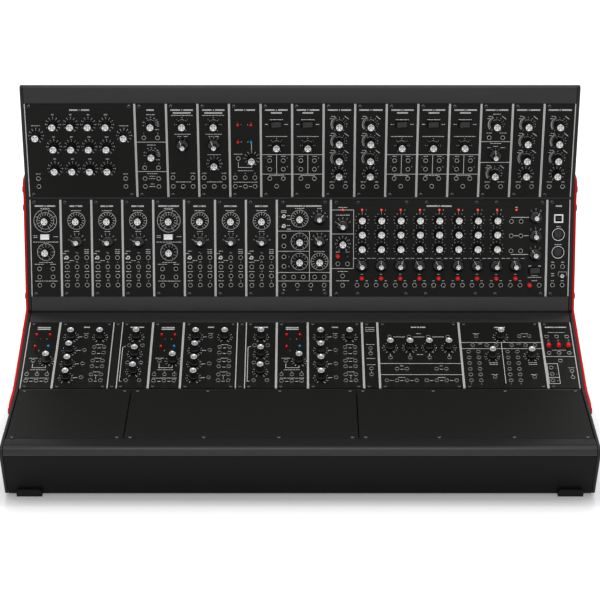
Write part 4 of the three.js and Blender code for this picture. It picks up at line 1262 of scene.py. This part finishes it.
CASE_PARTS = {
    "case_pan": ("case_metal", "case", 0.3),
    "front_rail": ("trim", "trim", 0.4),
    # The centre rail takes the darker copy of the trim: painted shade between the rows
    "centre_rail": ("trim", "rail", 0.25),
    "rear_rail": ("trim", "trim", 0.4),
    "cheek_left": ("trim", "cheek", 1.5),
    "cheek_right": ("trim", "cheek", 1.5),
    "supply_board": ("board", "board", 0.2),
    "power_inlet": ("black_plastic", "black", 0.25),
    "power_rocker": ("black_plastic", "black", 0.3),
}


def build_cases():
    for case in ("lower", "upper"):
        for part, (slot, finish, edge) in CASE_PARTS.items():
            piece = refined(f"{case}_{part}", finish, edge * MM)
            if case == "lower" and part == "front_rail":
                # Faces of the lower front rail that point up take the lighter, duller copy: painted light
                piece.data.materials.append(FINISH["lip"])
                for face in piece.data.polygons:
                    face.material_index = int(face.normal.z > PAINTED_LIGHT_FACING)
    for side in ("left", "right"):
        refined(f"bracket_{side}", "red_paint", 0.6 * MM)
        for end in ("front", "rear"):
            refined(f"{end}_foot_{side}", "rubber", 0.4 * MM, 4.5 * MM)


BRACKET_SCREW = [(4.5, -0.2), (4.5, 1.4), (4.0, 2.2), (2.8, 2.55), (0.6, 2.6)]
BRACKET_SOCKET = [(1.9, 2.3), (1.9, 2.64)]
BRACKET_SCREW_DEPTH = 2.4 * MM
BRACKET_SCREW_APART = 10 * MM


def bracket_screws(side, hand):
    """Black screw heads over the bracket's own, found at its outer face."""
    points = [v.co for v in frame["nodes"][f"bracket_{side}"].data.vertices]
    reach = max(hand * p.x for p in points)
    heads = []
    for p in points:
        if hand * p.x > reach - TOUCH / 2:
            near = next((h for h in heads if (h[0] - p).length < BRACKET_SCREW_APART), None)
            if near is None:
                heads.append([p])
            else:
                near.append(p)
    form = Form()
    turn = Matrix.Rotation(hand * math.pi / 2, 4, "Y")
    for head in heads:
        low, high = span(head)
        place = Matrix.Translation((hand * (reach - BRACKET_SCREW_DEPTH), *((low + high) / 2).yz)) @ turn
        add_screw(form, place, 0, BRACKET_SCREW, BRACKET_SOCKET, ROUND)
    form.piece(f"bracket_screws_{side}", "root", "steel", ["screw", "hole"])


REAR_SCREW_COUNT = 7
REAR_SCREW_INSET = 8 * MM


def pan_screws(case, tilt):
    """Screws along the rear and the bottom of a case's folded sheet, each turned its own way."""
    turn = Matrix.Rotation(math.radians(tilt), 4, "X")
    local = [turn.inverted() @ v.co for v in frame["nodes"][f"{case}_case_pan"].data.vertices]
    low, high = span(local)
    sole = [p.y for p in local if p.z < low.z + TOUCH]
    backward = turn @ Matrix.Rotation(-math.pi / 2, 4, "X")
    downward = turn @ Matrix.Rotation(math.pi, 4, "X")
    form = Form()
    for k in range(REAR_SCREW_COUNT):
        x = low.x + REAR_SCREW_INSET + (high.x - low.x - 2 * REAR_SCREW_INSET) * k / (REAR_SCREW_COUNT - 1)
        spots = [(high.y, high.z - REAR_SCREW_INSET, backward, 15 + 40 * k)]
        for y in (min(sole) + REAR_SCREW_INSET, max(sole) - REAR_SCREW_INSET):
            spots.append((y, low.z, downward, 25 + 31 * k))
        for y, z, facing, angle in spots:
            place = Matrix.Translation(turn @ Vector((x, y, z))) @ facing
            add_screw(form, place, angle, FLAT_HEAD, FLAT_SOCKET)
    form.piece(f"{case}_pan_screws", "root", "steel", ["screw", "hole"])


# Camera and light
FOCAL_LENGTH = 120
SENSOR_WIDTH = 36
CAMERA_BACK = 2415.1 * MM
CAMERA_HEIGHT = 1046.1 * MM
CAMERA_PITCH = 19.644
FLOOR_SIZE = 60
FLOOR_COLOUR = (0.86, 0.86, 0.86, 1)
SKY_LIGHT = 0.46
CAMERA_WHITE = 0.56
# A painted shadow on the floor: the glow's level over the object's foot, the foot's half size and the
# distances over which the glow rises again
PAINTED_SHADOW_GLOW = 0.2
PAINTED_SHADOW_HALF = (0.36, 0.2, 0)
PAINTED_SHADOW_REACH = (0.022, 0.066)

# Each lamp's place, size in metres and power in watts; all point at the object's middle
LAMPS = {
    "top": ((0, -0.5, 2.3), (2.4, 0.8), 27),
    "front": ((0, -2.4, 1.0), (2.6, 1.2), 9),
    "back": ((0.2, 1.8, 2.0), (2.4, 1.2), 8),
}
MIDDLE = (0, 0, 0.2)


def placed(name, data, place=(0, 0, 0), turn=(0, 0, 0)):
    """Puts something of the studio into the scene."""
    thing = bpy.data.objects.new(name, data)
    thing.location = place
    thing.rotation_euler = turn
    bpy.context.scene.collection.objects.link(thing)
    return thing


def camera():
    lens = bpy.data.cameras.new("camera")
    lens.lens = FOCAL_LENGTH
    lens.sensor_width = SENSOR_WIDTH
    lens.clip_start = 0.05
    lens.clip_end = 200
    turn = (math.radians(90 - CAMERA_PITCH), 0, 0)
    bpy.context.scene.camera = placed("camera", lens, (0, -CAMERA_BACK, CAMERA_HEIGHT), turn)


def soft_light(name, place, size, power):
    lamp = bpy.data.lights.new(name, "AREA")
    lamp.shape = "RECTANGLE"
    lamp.size, lamp.size_y = size
    lamp.energy = power
    placed(name, lamp, place, (Vector(MIDDLE) - Vector(place)).to_track_quat("-Z", "Y").to_euler())


def seen_plainly(graph):
    """1 where the camera, a gloss or a glass looks at this surface, otherwise 0."""
    path = graph.add("LightPath")
    value = path["Is Camera Ray"]
    for kind in ("Is Glossy Ray", "Is Transmission Ray"):
        value = graph.add("Math", {0: value, 1: path[kind]}, operation="MAXIMUM")["Value"]
    return value


def floor():
    """A pale floor that keeps the shadow and shows white round it. Its glow is painted weaker over and near
    the object's foot: a painted shadow that deepens the real one.
    """
    half = FLOOR_SIZE / 2
    mesh = bpy.data.meshes.new("floor")
    corners = [(-half, -half, 0), (half, -half, 0), (half, half, 0), (-half, half, 0)]
    mesh.from_pydata(corners, [], [[0, 1, 2, 3]])
    made = bpy.data.materials.new("floor_white")
    graph = Graph(made)
    shader = graph.nodes["Principled BSDF"]
    graph.feed(shader, {"Base Color": FLOOR_COLOUR, "Roughness": 0.3})
    where = graph.add("TexCoord")["Object"]
    away = graph.add("VectorMath", {0: where}, operation="ABSOLUTE")["Vector"]
    beyond = graph.add("VectorMath", {0: away, 1: PAINTED_SHADOW_HALF}, operation="SUBTRACT")["Vector"]
    split = graph.add("SeparateXYZ", {"Vector": beyond})
    reach = graph.add("Math", {0: split["X"], 1: split["Y"]}, operation="MAXIMUM")["Value"]
    # Painted shadow: the glow falls to its lowest over and near the object's foot
    level = graph.add("MapRange", {
        "From Min": PAINTED_SHADOW_REACH[0], "From Max": PAINTED_SHADOW_REACH[1],
        "To Min": PAINTED_SHADOW_GLOW, "To Max": CAMERA_WHITE, "Value": reach})["Result"]
    strength = graph.add("Math", {0: seen_plainly(graph), 1: level}, operation="MULTIPLY")["Value"]
    glow = graph.add("Emission", {"Strength": strength})["Emission"]
    both = graph.add("AddShader", {0: shader.outputs["BSDF"], 1: glow})["Shader"]
    graph.feed(graph.nodes["Material Output"], {"Surface": both})
    mesh.materials.append(made)
    ground = placed("floor", mesh)


def world():
    """Even light from all round, and plain white where the camera or a gloss sees it."""
    sky = bpy.data.worlds.new("studio")
    bpy.context.scene.world = sky
    graph = Graph(sky)
    level = graph.add("MapRange", {"To Min": SKY_LIGHT, "To Max": 1, "Value": seen_plainly(graph)})["Result"]
    graph.feed(graph.nodes["Background"], {"Strength": level, "Color": (1, 1, 1, 1)})


def studio():
    camera()
    floor()
    world()
    for name, settings in LAMPS.items():
        soft_light(name, *settings)
    bpy.context.scene.view_settings.view_transform = "Standard"


build_rows()
build_cases()
for side, hand in (("left", -1), ("right", 1)):
    bracket_screws(side, hand)
pan_screws("lower", LOWER_TILT)
pan_screws("upper", UPPER_TILT)
studio()
